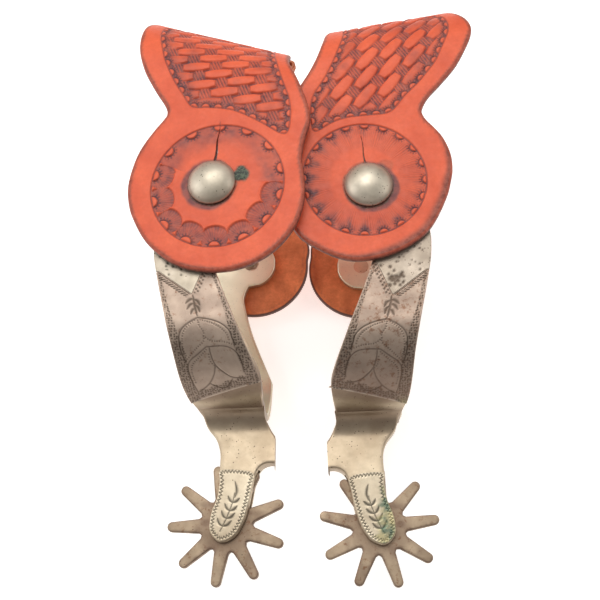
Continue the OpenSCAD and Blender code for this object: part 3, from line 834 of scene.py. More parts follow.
def tab_borders(flat):
    """The cut of the overlay's two borders beside the tab: a rope on one side and beads on the other."""
    d, along = line_distance(flat, on_arm([TAB_TIP, TAB_LEFT]))
    rope = teeth(along - d, 1.5) * step(0.9, 1.3, d) * step(3.0, 2.5, d)
    cut = np.maximum(rope * step(0.6, 1.6, along), groove(d - 0.5, 0.3) * step(0.3, 1.0, along))
    d, along = line_distance(flat, on_arm([TAB_TIP, TAB_RIGHT]))
    for row in (0.9, 2.1):
        beads = groove(d - row, 0.48) * teeth(along - row, 1.9)
        cut = np.maximum(cut, beads * step(0.3, 1.0, along))
    return cut


def band_overlay(spur):
    """The engraved plate on the outer arm."""
    lower, upper = (edge[edge[:, 1] > end_line_y(edge[:, 0]) + 0.2]
                    for edge in (band_edge(0, 0, TAB_LEFT[1], 0.6), band_edge(1, 0, TAB_RIGHT[1], 0.6)))
    ends = [(x, end_line_y(x)) for x in (-14.6, -7, 0, 7, 14, 20.5)]
    xy = np.vstack([lower, [TAB_LEFT, TAB_TIP, TAB_RIGHT], upper[::-1], ends[::-1]])
    outline = anticlockwise(resample(on_arm(xy), 0.5))
    points, faces = plate(outline, OVERLAY_T, 0.2, grid(outline, FINE), bottom=grid(outline, 2.0))
    flat = points[:, :2]
    s, x = flat.T
    rim = signed_distance(flat, outline)
    lines, pricks, leaves = ([on_arm(line) for line in group]
                             for group in (ARM_LINES, ARM_PRICKS, ARM_LEAVES))
    cut = 0.9 * strokes(flat, lines, 0.30)
    cut = np.maximum(cut, 0.9 * strokes(flat, pricks, 0.36, 1.1))
    cut = np.maximum(cut, strokes(flat, leaves, 0.50, taper=True))
    cut = np.maximum(cut, tab_borders(flat))
    # bands of stipple along both edges and above the end line
    y = HEEL.y_of(s)
    low, high = band_edges(y)
    wide = 1.9 + 3.4 * step(46, 14, y)
    edge_gap = np.minimum(x - low, high - x)
    near_edge = step(0.4, 0.8, edge_gap) * step(wide + 0.5, wide, edge_gap) * step(58, 54, y)
    rise = s - HEEL.s_of(end_line_y(x))
    near_end = step(1.0, 1.5, rise) * step(6.4, 5.4, rise + 0.8 * np.sin(x))
    pricked = np.maximum(near_edge, near_end)
    cut = np.maximum(cut, 0.8 * stipple(flat, 1.15, 0.50, 5) * pricked)
    cut *= step(0.15, 0.4, rim)
    ridge = groove(rise - 0.5, 0.45)
    top = on_top(points, OVERLAY_T)
    points[:, 2] += top * (0.22 * ridge - 0.17 * cut)
    placed = HEEL.bend(s, x, points[:, 2] + BAND_T)
    tone_and_shade = np.interp(s + 2.5 * clouds(s, x, 9, 21), TONE_AT, OVERLAY_TONE_AND_SHADE[spur.side])
    marks = {"stain_and_shade": np.clip(0.9 * cut + 0.26 * pricked, 0, 1) * top, "brown_and_shade": tone_and_shade * (1 - ridge)}
    if spur.side == "right":
        marks["verdigris_and_shade"] = 0.6 * groove(np.hypot(rise, x - low), 4.0) * top
    add_piece(spur, "engraved_overlay", "spur", "band_overlay",
              SPECKLED if spur.side == "right" else ENGRAVED, placed, faces, marks)


# Pits in the tab, in groups: middle (S, X), spread (S, X), smallest and largest size and how many
TAB_PITS = {
    "left": [((64, -19), (5.0, 5.0), (0.25, 0.75), 44)],
    "right": [((51.5, -11.5), (1.6, 1.9), (0.5, 1.15), 26), ((56, -9), (3.0, 2.5), (0.3, 0.7), 9),
              ((62, -20), (5.0, 5.0), (0.2, 0.5), 22)]}
TAB_TONE = {"left": 0.0, "right": 0.38}
TAB_SEED = {"left": 7, "right": 11}


def tab_plate(spur):
    """The polished plate between the overlay and the wing."""
    low = band_edge(0, TAB_LEFT[1], 96.5, 0.8)
    high = band_edge(1, TAB_RIGHT[1], 80.5, 0.8)
    under = arc(BUTTON_X, BUTTON_Y, PADDLE_R + 3, -105, -180)
    xy = np.vstack([[TAB_TIP, TAB_LEFT], low, under[::-1], high[::-1], [TAB_RIGHT]])
    outline = anticlockwise(resample(on_arm(xy), 0.5))
    points, faces = plate(outline, OVERLAY_T + 0.05, 0.22, grid(outline, 0.5), bottom=grid(outline, 2.0))
    rng = np.random.default_rng(TAB_SEED[spur.side])
    top = points[:, 2] > OVERLAY_T
    pit = np.zeros(len(points))
    for middle, spread, sizes, count in TAB_PITS[spur.side]:
        for _ in range(count):
            away = points[:, :2] - rng.normal(middle, spread)
            pit = np.maximum(pit, groove(np.hypot(*away.T), rng.uniform(*sizes)))
    points[:, 2] -= 0.22 * pit * top
    placed = HEEL.bend(points[:, 0], points[:, 1], points[:, 2] + BAND_T)
    marks = {"stain_and_shade": np.clip(pit * 1.3, 0, 0.92) * top, "brown_and_shade": np.full(len(points), TAB_TONE[spur.side])}
    add_piece(spur, "polished_tab", "spur", "tab_plate", POLISHED, placed, faces, marks)


# ---------------------------------------------------------------- shank, cheek and rowel
def root_fillet():
    """(Y where the fillet starts, Y where it meets the band) of the round root of the shank."""
    a = np.linspace(0, math.pi / 2, 2000)
    ellipse = np.column_stack([HEEL_DEPTH - HEEL_DEPTH * np.cos(a), (HALF_IN + BAND_T) * np.sin(a)])
    low, high = -3 * ROOT_R, 0.0
    for _ in range(40):
        centre = (low + high) / 2
        reach = np.hypot(ellipse[:, 0] - centre, ellipse[:, 1] - SHANK_T / 2 - ROOT_R).min()
        low, high = (centre, high) if reach > ROOT_R else (low, centre)
    nearest = np.argmin(np.hypot(ellipse[:, 0] - centre, ellipse[:, 1] - SHANK_T / 2 - ROOT_R))
    return centre, float(ellipse[nearest, 0])


def shank(spur):
    """The shank with its chap guard, its root and the slot for the rowel."""
    start, meet = root_fillet()
    outline = outline_through(SHANK_SIDE, 8, 0.7)
    coarse, close = grid(outline, 1.4), grid(outline, 0.6)
    face = np.vstack([coarse[coarse[:, 1] < start - 1], close[close[:, 1] > start - 0.8]])
    points, faces = plate(outline, SHANK_T, 0.9, face)
    y = np.minimum(points[:, 1], meet)
    bulge = np.where(y > start, ROOT_R - np.sqrt(np.maximum(ROOT_R ** 2 - (y - start) ** 2, 0)), 0)
    scale = (SHANK_T / 2 + bulge) / (SHANK_T / 2)
    thin = 1 - 0.16 * step(18, 32, points[:, 0]) * (points[:, 1] > -30)
    placed = np.column_stack([points[:, 0], points[:, 1], (points[:, 2] - SHANK_T / 2) * scale * thin])
    least, most = heel_lean(placed[:, 1], placed[:, 2])
    give = 5 * step(-1, -11, placed[:, 1])
    placed[:, 0] = np.clip(placed[:, 0], least - give, most + give)
    brown_and_shade = 0.60 * step(-10, 0, points[:, 1] + 2.5 * clouds(points[:, 0], points[:, 1], 7, 32))
    rim = signed_distance(points[:, :2], outline)
    brown_and_shade = np.maximum(brown_and_shade, 0.5 * step(1.3, 0.2, rim) * (0.5 + 0.5 * step(10, 30, points[:, 0])))
    body = add_piece(spur, "shank_body", "spur", "shank", NICKEL, placed, faces, {"brown_and_shade": brown_and_shade})
    half, reach = SLOT_W / 2, TIP_RING_R + TIP_R + 1.2
    points, faces = lathe([(0, -half), (reach, -half), (reach, half), (0, half)])
    carve(spur, body, points + [0, -PIN_BACK, 0], faces)


def carve(spur, piece, points, faces):
    """Cuts a solid away from a piece for good."""
    mesh = bpy.data.meshes.new("cutter")
    world = spur.world(points)
    if spur.side == "right":
        faces = [f[::-1] for f in faces]
    mesh.from_pydata(world.tolist(), [], faces)
    cutter = bpy.data.objects.new("cutter", mesh)
    bpy.context.scene.collection.objects.link(cutter)
    change = piece.modifiers.new("carve", "BOOLEAN")
    change.operation, change.solver, change.object = "DIFFERENCE", "EXACT", cutter
    bpy.context.view_layer.update()
    graph = bpy.context.evaluated_depsgraph_get()
    carved = bpy.data.meshes.new_from_object(piece.evaluated_get(graph))
    piece.modifiers.clear()
    old, piece.data = piece.data, carved
    bpy.data.meshes.remove(old)
    bpy.data.objects.remove(cutter)
    carved.set_sharp_from_angle(angle=math.radians(SHARP_ANGLE))


def cheek_overlay(spur):
    """The engraved tongue on the outer side of the fork."""
    outline = outline_through(CHEEK_SIDE, 8, 0.45)
    thickness = 1.0
    points, faces = plate(outline, thickness, 0.3, grid(outline, 0.22), bottom=grid(outline, 2.0))
    flat = points[:, :2]
    rim = signed_distance(flat, outline)
    closed = np.vstack([outline, outline[:1]])
    along = line_distance(flat, closed)[1]
    zigzag = np.abs((along / 1.6) % 1 - 0.5) * 2
    cut = groove(rim - 0.6 - 1.25 * zigzag, 0.34)
    stem = [(-2.0, -53.5), (0.2, -49), (2.2, -44), (3.6, -39.5), (4.2, -36.5)]
    leaves = [[(4.2, -38.5), (5.0, -35.5), (4.2, -31.4)]]
    for k, (x, y) in enumerate([(-0.9, -51.2), (0.7, -47.8), (2.0, -44.4), (3.2, -40.8)]):
        size = 1 - 0.06 * k
        leaves += [[(x, y), (x + 2.2 * size, y + 0.5), (x + 4.0 * size, y + 2.4 * size)],
                   [(x, y), (x - 1.6 * size, y + 1.2), (x - 2.4 * size, y + 3.6 * size)]]
    cut = np.maximum(cut, strokes(flat, [stem], 0.2))
    cut = np.maximum(cut, strokes(flat, leaves, 0.38, taper=True))
    top = on_top(points, thickness)
    points[:, 2] -= 0.2 * cut * top
    points[:, 2] += SHANK_T / 2
    marks = {"stain_and_shade": 0.85 * cut * top}
    if spur.side == "right":
        x, y = flat.T
        border = 0.8 * np.sin(y * 0.9) + 0.6 * np.sin(y * 2.3 + 1) - 1 - 0.16 * (y + 44)
        marks["verdigris_and_shade"] = step(border + 2.5, border - 1.5, x) * step(-30, -34, y)
    add_piece(spur, "cheek_engraving", "spur", "cheek_overlay", CHEEK, points,
              faces, marks)


def rowel(spur):
    """The star rowel: blunt points with round ends."""
    pitch = 360 / POINTS
    foot_r, foot_a = VALLEY_R + 0.9, math.radians(pitch * 0.36)
    valley_a = math.radians(pitch / 2)
    tip = arc(TIP_RING_R, 0, TIP_R, -84, 84, 0.5)
    point = np.vstack([[VALLEY_R * math.cos(valley_a), -VALLEY_R * math.sin(valley_a)],
                       [foot_r * math.cos(foot_a), -foot_r * math.sin(foot_a)], tip,
                       [foot_r * math.cos(foot_a), foot_r * math.sin(foot_a)]])
    loop = np.vstack([turned(point, k * pitch) for k in range(POINTS)])
    outline = anticlockwise(resample(loop, 0.45))
    bore = arc(0, 0, PIN_D / 2 + 0.08, 360, 10, 0.4)
    points, faces = plate(outline, ROWEL_T, 0.55, grid(outline, 1.0), holes=[(bore, 0.2)], margin=0.3)
    r = np.hypot(points[:, 0], points[:, 1])
    scale = 1 - 0.10 * step(14, 27, r)
    z = (points[:, 2] - ROWEL_T / 2) * scale
    x, y = turned(points, TURN[spur.side]).T
    placed = np.column_stack([x, y - PIN_BACK, z])
    rim = signed_distance(points[:, :2], outline)
    brown_and_shade = 0.45 * step(17, 9, r) + 0.45 * step(1.0, 0.2, rim) + 0.35 * step(0.55, 0.85, clouds(x, y, 4, 33))
    add_piece(spur, "star_rowel", "rowel_body", "rowel", RUSTED, placed, faces,
              {"brown_and_shade": np.clip(brown_and_shade, 0, 0.75)})


def rowel_pin(spur):
    """The pin of the rowel, with one end peened over."""
    r, h = PIN_D / 2, SHANK_T / 2
    head = [(0, -h - 0.5), (r * 0.7, -h - 0.42), (r + 0.3, -h - 0.1), (r, -h + 0.05), (r, h - 0.05), (0, h)]
    points, faces = lathe(head, 48)
    add_piece(spur, "peened_pin", "spur", "rowel_pin", STEEL, points + [0, -PIN_BACK, 0], faces)


# ---------------------------------------------------------------- buttons
def dome_profile(height):
    """(radius, height) points of a button: a flat back, a rim and a round dome."""
    rim = 1.2
    half = BUTTON_D / 2
    rise = height - rim
    r = (half ** 2 + rise ** 2) / (2 * rise)
    line = [(0, 0.0), (half - 1.4, 0.0), (half - 0.5, 0.15), (half - 0.08, 0.55), (half, rim * 0.8)]
    start = math.asin(half / r)
    for a in np.linspace(start, 0, 22)[1:]:
        line.append((max(r * math.sin(a), 0), height - r + r * math.cos(a)))
    return line


def button(spur, name, node, z, height, sign):
    """A domed button with a knurled rim, facing outward (1) or inward (-1)."""
    points, faces = lathe(dome_profile(height), 144)
    r = np.hypot(points[:, 0], points[:, 1])
    around = np.arctan2(points[:, 1], points[:, 0])
    half = BUTTON_D / 2
    knurl = groove(r - half + 0.7, 0.7) * step(0.5, 1.0, points[:, 2])
    points[:, 2] -= 0.16 * knurl * step(-0.3, 0.3, np.cos(around * 72))
    # Grime in the knurl, and painted shade round the dome's foot where it meets the leather.
    stain_and_shade = 0.35 * knurl + 0.5 * step(1.0, 0.2, points[:, 2])
    placed = np.column_stack([points[:, 0] + BUTTON_X, points[:, 1] + BUTTON_Y, z + sign * points[:, 2]])
    add_piece(spur, name, "spur", node, DOME, placed, faces, {"stain_and_shade": stain_and_shade}, sharp=60)


# ---------------------------------------------------------------- the wing
# Outlines of the wings laid out flat: from the narrow end down the left edge, round the disc and back up.
WING_OUTLINE = {
    "left": [
        (-22.8, 118), (-23.4, 111), (-27, 106), (-34, 103.5), (-44, 102), (-57, 99.4), (-66, 95), (-70.3, 87),
        (-70.2, 77), (-64.7, 60.5), (-57, 48.8), (-47.4, 39.7), (-38.6, 32.6), (-35.6, 28.6), (-36, 25),
        (-38, 18.5), (-40.2, 8.4), (-40.3, -1), (-38.4, -11.9), (-34.6, -20), (-29.5, -26.6), (-19.6, -35.2),
        (-8.6, -40.4), (-1.5, -42), (5.8, -42.4), (17.5, -40.1), (28.2, -34.8), (36.8, -26.6), (41.8, -17.7),
        (44.2, -8.8), (44.4, -2), (43.4, 5), (41, 12), (37.6, 19), (34.9, 24), (33.6, 29), (32.6, 35),
        (32.2, 41), (31, 45.5), (28.9, 49.7), (22.2, 58.8), (14, 69), (7.7, 78), (3.6, 92), (-0.4, 102),
        (-2.8, 111), (-3.1, 118)],
    "right": [
        (-22.8, 132), (-23.2, 126), (-25, 121), (-30, 117.8), (-38, 114.8), (-48, 111), (-57, 105.5),
        (-62.6, 97.6), (-64.8, 92.4), (-67, 85.5), (-68, 79.3), (-67.4, 74), (-64.4, 67.6), (-58, 58.8),
        (-53, 53.3), (-45.4, 46.8), (-38, 40.8), (-34, 35.8), (-33, 32.6), (-34.2, 28.5), (-36.9, 23.8),
        (-39.6, 17.6), (-40.9, 9.1), (-39.9, 1.2), (-37.5, -5.2), (-34.1, -11.9), (-26.6, -22.3),
        (-19.5, -28.8), (-9.2, -33.5), (2, -35.7), (12.3, -35.2), (20.7, -32), (30.3, -24.6), (35.8, -18.4),
        (39, -9.6), (40.2, 0), (39.4, 9), (36.8, 18), (34, 25), (32.8, 31), (32.2, 38), (30.5, 44.5),
        (27.5, 50), (19.8, 59.7), (14.3, 66.3), (9.1, 74.5), (4.6, 84.8), (2.1, 92.8), (0, 98),
        (-1.8, 105.7), (-2.6, 115), (-3, 124), (-3.1, 132)]}
# The border of the neck panel
PANEL = {
    "left": [(-25, 35.2), (-32, 40.3), (-40, 47), (-47.5, 55), (-52.5, 62), (-58, 71), (-61, 79.5),
             (-61.5, 88), (-56, 92.5), (-44, 95), (-32, 97), (-20, 99), (-8, 99), (-4.2, 94), (-2.6, 84),
             (2.8, 73.4), (11.3, 60.8), (17.7, 52.5), (22, 44), (23.4, 33.5), (11, 36), (0, 38.3),
             (-8, 38.6), (-17, 37)],
    "right": [(-18.4, 36.2), (-27.2, 43.5), (-35.5, 49.8), (-45.2, 58.9), (-51.1, 67.4), (-56, 75.6),
              (-57.6, 82.5), (-57, 91), (-54, 98), (-47, 103), (-37, 106.5), (-25, 109), (-14, 110),
              (-9.4, 106), (-8.4, 98), (-6.8, 89), (-4.2, 81.5), (1.5, 70.1), (8.2, 60.3), (14.7, 52.9),
              (17.9, 45.6), (19.3, 37.2), (18, 32.7), (9.5, 36), (1.3, 37.2), (-8.3, 36.4)]}
# The round panel: the middle (U, V) and radius of its scribed ring
RING = {"left": (2.4, 0.0, 31.0), "right": (1.0, 3.8, 28.5)}
# The half-rounds inside the ring: how many, their size and the angle of the first in degrees
RING_STAMPS = {"left": (14, 2.9, 110.0), "right": (20, 2.2, 84.0)}
# The basket weave: angle of the rows, length of one stamp, distance between rows, the rows' drift, one post
WEAVE = {"left": (21.8, 19.0, 5.3, -1.45, (-9.8, 42.7)), "right": (137.6, 20.6, 5.8, 1.4, (8.8, 46.8))}
# The slit above the button hole: its lean in degrees, its half width at the hole and its end
SLIT = {"left": (15.4, 0.62, 28.5), "right": (4.7, 0.32, 26.0)}
# The verdigris beside the dome: its middle (U, V) and how strong it is
VERDIGRIS = {"left": ((11.2, 8.6), 1.0), "right": ((-9.5, 8.5), 0.25)}
CRACK = {"left": 0.8, "right": 0.2}           # how dark the crack past the slit is
SMOKE = {"left": 0.62, "right": 0.34}         # how dark the neck panel is near its border


def wing_bend(spur, p):
    """The wing's flat (U, V, height over its inner face) to the strap's frame."""
    u, v, n = p[:, 0], p[:, 1], p[:, 2]
    centre_z = WING_IN + WING_T - NEAR_BEND_R
    theta = np.clip((v - spur.bend_v) / NEAR_BEND_R, 0, math.pi / 2)
    r = NEAR_BEND_R - WING_T + n
    down = np.maximum(v - spur.wing_turn_v, 0)
    y = np.minimum(v, spur.bend_v) + r * np.sin(theta)
    z = centre_z + r * np.cos(theta) - down
    # the end is pared thin, folded round the buckle's bar and laid back up inside
    past_bar = v - spur.wing_bar_v
    n = n + step(-7, -1, past_bar) * (WING_T - n) * (1 - FOLD_T / WING_T)
    y = np.where(down > 0, spur.front_v - WING_T + n, y)
    phi = np.clip(past_bar / FOLD_R, 0, math.pi)
    round_r = FOLD_R - (WING_T - n)
    back_up = np.maximum(past_bar - FOLD_R * math.pi, 0)
    folded = past_bar > 0
    lie = 1.7 * step(0, 7, back_up)
    y = np.where(folded, spur.bar_v + round_r * np.cos(phi) + lie, y)
    z = np.where(folded, BAR_Z - round_r * np.sin(phi) + back_up, z)
    return np.column_stack([u, y, z])


def half_round(t, w, size):
    """A half-round border stamp at T along and W inside a line: (height, stain, where its plain boss is)."""
    d = np.hypot(t, w)
    inward = step(-0.3, 0.1, w)
    boss = step(size, size - 0.5, d) * inward
    crease = groove(d - size, 0.34) * inward
    angle = np.arctan2(t, np.maximum(w, 0.01))
    spikes = step(-0.2, 0.5, np.cos(angle * 15)) * groove(d - size - 0.95, 0.45) * step(0.2, 0.6, w)
    return 0.10 * boss - 0.50 * crease - 0.22 * spikes, 0.95 * crease + 0.6 * spikes, boss


def shell_shading(k, count, t, w, r, patchy):
    """Shells stamped over one another round the left, bottom and right, and soft shading above."""
    low = np.isin(k % count, range(3, 11)) * step(0.0, 1.0, w)
    wobble = 0.5 * np.sin(k * 2.3)
    shell = np.hypot(t, w - 3.6 - wobble) - (6.4 + 0.5 * wobble)
    fan = step(0.4, -0.5, shell) * low
    rays = 0.5 + 0.5 * np.cos(np.arctan2(t, np.maximum(w, 0.01)) * 38)
    bowl = np.clip(1 + shell / 7, 0, 1)
    height = fan * (-0.25 - 0.45 * bowl - 0.13 * rays) + 0.20 * groove(shell - 0.5, 0.5) * low
    stain_and_shade = fan * (0.48 + 0.20 * rays + 0.30 * patchy * bowl)
    above = (1 - low) * step(w + r - 13 - 5 * patchy, w + r - 4, r)
    return height - 0.45 * above, stain_and_shade + above * (0.36 + 0.42 * patchy) * step(-0.1, 0.7, w)


def ray_shading(phi, turns, w, r, patchy, soot):
    """Fine rays, with shading between the half-rounds that is heaviest toward the right."""
    rays = 0.5 + 0.5 * np.cos(phi * 150 + 2.0 * np.sin(phi * 20))
    band = step(14.0, 17, r) * step(0.5, 2.5, w)
    height = -0.16 * rays * band - 0.4 * step(-0.1, 0.7, w) * np.clip((8 - w) / 8, 0, 1)
    between = 0.5 - 0.5 * np.cos(2 * np.pi * turns + np.pi)
    heavy = 0.55 + 0.45 * np.cos(phi - math.radians(-20)) + 0.25 * patchy
    stain_and_shade = 0.22 * band * rays * step(13, 20, r) + 0.10 * band
    stain_and_shade += heavy * step(9.5, 3.0, w + 3 * (1 - between)) * (0.55 + 0.4 * soot) * (0.5 + 0.5 * between)
    return height, stain_and_shade


def ring_stamping(side, u, v):
    """The round panel's height and stain: a scribed ring, half-rounds inside it, shading stamps and a painted
    shadow of the dome.
    """
    cx, cy, ring_r = RING[side]
    count, size, phase = RING_STAMPS[side]
    r = np.hypot(u - cx, v - cy)
    w = ring_r - r
    inside = step(-0.1, 0.7, w)
    phi = np.arctan2(v - cy, u - cx)
    stamp = (phi - math.radians(phase)) * count / (2 * math.pi)
    k = np.round(stamp)
    t = (stamp - k) * 2 * math.pi / count * np.maximum(r, 1)
    h, s, boss = half_round(t, w, size)
    patchy = clouds(u, v, 5.0, 3)
    soot = clouds(u, v, 1.6, 4)
    if side == "left":
        height, stain_and_shade = shell_shading(k, count, t, w, r, patchy)
    else:
        height, stain_and_shade = ray_shading(phi, stamp - k, w, r, patchy, soot)
    clean = (1 - boss) * inside
    line = groove(w, 0.38)
    height = height * clean - 0.05 * boss + h * inside - 0.62 * line
    stain_and_shade = stain_and_shade * clean * (0.8 + 0.4 * soot) + s * inside + 0.9 * line
    # A painted shadow of the dome, falling to one side of it.
    dome_shadow = step(14.3, 12.4, np.hypot(u + 1.3, v + 1.1) + 1.2 * clouds(u, v, 3, 9))
    return height, np.maximum(stain_and_shade, 0.9 * dome_shadow)


def basket_weave(side, u, v):
    """Rows of raised bars between posts of fine lines, half a stamp out from row to row, with painted shadows
    at the bars' ends.
    """
    angle, length, width, drift, start = WEAVE[side]
    a, b = turned(np.column_stack([u, v]) - start, -angle).T
    row = np.round(b / width)
    across = b - row * width
    a = a - row * drift - (row % 2) * length / 2 - length / 2
    k = np.round(a / length)
    along = a - k * length
    jitter = np.modf(np.abs(np.sin(row * 12.9898 + k * 78.233)) * 43.7)[0]
    bar_half = length / 2 - 2.9
    end = np.abs(along) - bar_half
    waist = width / 2 * (1 - 0.30 * np.clip(np.abs(along) / bar_half, 0, 1) ** 3)
    bar = step(0.3, -0.3, end) * step(waist, waist - 0.55, np.abs(across))
    crown = 1 - (across / (width / 2)) ** 2
    post = step(-0.2, 0.3, end)
    from_post = along - np.sign(along) * length / 2
    lines = teeth(from_post + 0.38 * across, 1.5, -0.1, 0.6) * step(2.6, 2.2, np.abs(from_post))
    # Painted shadows: a dark line in the dent at each bar's end, and a dark wedge along the bar's edge near
    # its ends.
    tuck_shadow = groove(end - 0.1, 0.4) * step(width / 2, width / 2 - 0.8, np.abs(across))
    shadow_wedge = groove(np.abs(across) - width / 2, 0.16 + 0.62 * step(-4.2, -0.6, end)) * step(-4.6, -2.0, end)
    shadow_wedge *= step(1.4, 0.4, end)
    patchy, soot = clouds(u, v, 7, 5), clouds(u, v, 1.4, 6)
    height = -0.72 + bar * (0.42 + 0.34 * crown + 0.10 * jitter) + post * (0.16 - 0.36 * lines)
    height -= 0.16 * tuck_shadow + 0.50 * shadow_wedge
    stain_and_shade = (1 - bar) * (0.26 + 0.45 * patchy) + bar * 0.6 * np.clip(patchy * 1.6 - 0.85, 0, 1)
    stain_and_shade += 0.45 * post * lines + 0.25 * tuck_shadow
    return height, np.maximum(stain_and_shade * (0.75 + 0.5 * soot), 1.0 * shadow_wedge)


def panel_stamping(side, u, v, panel, inside_by):
    """The neck panel's height and stain: half-rounds inside a scribed border, and the basket weave with its
    painted shadows.
    """
    flat = np.column_stack([u, v])
    height, stain_and_shade = basket_weave(side, u, v)
    soot = clouds(u, v, 1.5, 8)
    fade = step(1.2, 4.0, inside_by)
    height = height * fade + (1 - fade) * (-0.60 + 0.15 * soot)
    height *= 1 - 0.35 * step(9, 4, inside_by)
    smoke = SMOKE[side] * step(12.5, 3.5, inside_by + 5 * clouds(u, v, 6, 14))
    stain_and_shade = np.maximum(stain_and_shade, smoke * (0.7 + 0.5 * soot))
    stain_and_shade = stain_and_shade * fade + (1 - fade) * (0.55 + 0.35 * soot)
    border = resample(panel, 6.1)
    normal = border - inset(border, 1.0)
    near = np.flatnonzero((inside_by < 5) & (inside_by > -1))
    bosses, cuts, inks = (np.zeros(len(u)) for _ in range(3))
    size = 2.2
    for place, out in zip(border, normal):
        away = flat[near] - place
        w = -(away @ out)
        t = away @ np.array([-out[1], out[0]])
        close = np.hypot(t, w) < 2 * size
        h, ink, boss = half_round(t[close], w[close], size)
        ids = near[close]
        cuts[ids] = np.where(np.abs(h) > np.abs(cuts[ids]), h, cuts[ids])
        inks[ids] = np.maximum(inks[ids], ink)
        bosses[ids] = np.maximum(bosses[ids], boss)
    height = height * (1 - bosses) - 0.1 * bosses + cuts
    stain_and_shade = stain_and_shade * (1 - 0.9 * bosses) + inks
    within = step(-0.05, 0.55, inside_by)
    line = groove(inside_by, 0.36)
    return height * within - 0.50 * line, stain_and_shade * within + 0.75 * line


def keyhole(lean, half_width, end):
    """The button hole with the slit above it, drawn clockwise."""
    hole = 4.2
    start = math.degrees(math.asin(half_width / hole))
    bow = arc(0, 0, hole, 90 - start, -270 + start, 0.7)
    run = np.linspace(hole + 0.6, end, 16)
    width = half_width * (1 - 0.8 * step(12, end, run)) + 0.03 * np.sin(run * 2.1)
    wander = 0.22 * np.sin(run * 0.5)
    left = np.column_stack([wander - width, run])
    right = np.column_stack([wander + width, run])
    return turned(np.vstack([bow, left, right[::-1]]), lean)


def wing_outline(spur):
    """The whole outline, with the narrow strap that folds round the buckle's bar."""
    turn, end = spur.wing_turn_v, spur.wing_bar_v + math.pi * FOLD_R + 20
    left, right = STRAP_MID - STRAP_W / 2 + 0.5, STRAP_MID + STRAP_W / 2 - 0.5
    tail = [(right, turn + 24), (right, end - 14), (right, end - 0.6), (right - 1, end), (left + 1, end),
            (left, end - 0.6), (left, end - 14), (left, turn + 24)]
    return outline_through(WING_OUTLINE[spur.side] + tail, 5, 0.9)


def wing_face(side, outline, panel):
    """Points over the wing's upper face: close on the round and neck panels, and wider apart elsewhere."""
    cx, cy, ring_r = RING[side]
    disc = polar_grid(cx, cy, 9, ring_r + 1.5, FINE)
    weave = grid(panel, FINE, WEAVE[side][0])
    weave = weave[np.hypot(*(weave - (cx, cy)).T) > ring_r + 1.65]
    weave = weave[signed_distance(weave, panel) > -0.9]
    rest = grid(outline, 1.25)
    rest = rest[np.abs(np.hypot(*(rest - (cx, cy)).T) - (ring_r + 10) / 2) > (ring_r - 6) / 2 + 0.4]
    rest = rest[signed_distance(rest, panel) < -1.7]
    return np.vstack([disc, weave, rest])


def edge_wear(side, u, v, depth, top, gap):
    """How brown and burnished the wing is: all over its edge, and a little way onto its face."""
    burnish = 1.9
    if side == "right":
        burnish = burnish + 2.8 * step(0.1, 0.9, np.cos(np.arctan2(v, u) - math.radians(228))) * (v < 30)
    worn = step(burnish, 0.3 * burnish, gap - 0.8 * clouds(u, v, 6, 2))
    edge = np.where(top, 0.8 * worn, 0.6 + 0.4 * step(0.95, 0.45, depth))
    return np.where(depth < 0.01, 0.3, edge)


def slit_crack(side, flat):
    """The crack that runs on from the slit."""
    lean, _, slit_end = SLIT[side]
    across, along = turned(flat, -lean).T
    crack = groove(across - 0.22 * np.sin(along * 0.5), 0.25) * step(slit_end - 1, slit_end, along)
    return crack * step(slit_end + 6, slit_end + 3, along)


def dome_crust_and_shadow(side, u, v):
    """Verdigris beside the dome, and a painted shadow in a dark ring all round it."""
    (spot_u, spot_v), strength = VERDIGRIS[side]
    ragged = 1.6 * clouds(u, v, 2.2, 12)
    crust = strength * step(5.4, 3.8, np.hypot(u - spot_u, v - spot_v) + ragged)
    # The dark ring round the dome's foot is painted shadow.
    return np.maximum(crust, 0.55 * step(12.6, 11.6, np.hypot(u, v) + 0.5 * ragged))


def wing_strap(spur):
    """The wing leather: cut, stamped and worn flat, and then bent over the instep."""
    side = spur.side
    outline = wing_outline(spur)
    panel = outline_through(PANEL[side], 5, 0.6)
    cx, cy, ring_r = RING[side]
    tongue_gap = anticlockwise(arc(STRAP_MID, spur.wing_bar_v + 6, 3.4, 0, 350, 0.8))[::-1]
    points, faces = plate(outline, WING_T, 1.3, wing_face(side, outline, panel),
                          [(keyhole(*SLIT[side]), 0.08), (tongue_gap, 0.3)],
                          bottom=grid(outline, 2.2), margin=0.17)
    flat = points[:, :2]
    u, v = flat.T
    top = on_top(points, WING_T)
    gap, inside_by = signed_distance(flat, outline), signed_distance(flat, panel)
    height, stain_and_shade = ring_stamping(side, u, v)
    in_panel = (inside_by > -1.2) & (np.hypot(u - cx, v - cy) > ring_r + 0.8)
    h, s = panel_stamping(side, u[in_panel], v[in_panel], panel, inside_by[in_panel])
    height[in_panel] += h
    stain_and_shade[in_panel] += s
    sag = 0.14 * np.sin(u * 0.09 + 1) * np.sin(v * 0.11)
    crack = slit_crack(side, flat)
    stain_and_shade = np.maximum(stain_and_shade, CRACK[side] * crack)
    marks = {"stain_and_shade": np.clip(stain_and_shade, 0, 1) * top,
             "edge": edge_wear(side, u, v, points[:, 2] / WING_T, top, gap),
             "verdigris_and_shade": dome_crust_and_shadow(side, u, v) * top}
    points[:, 2] += top * (height + sag * step(2, 6, gap) - 0.3 * crack)
    add_piece(spur, "wing_leather", "strap", "wing_strap", LEATHER_RED,
              spur.strap(wing_bend(spur, points)), faces, marks, sharp=0)


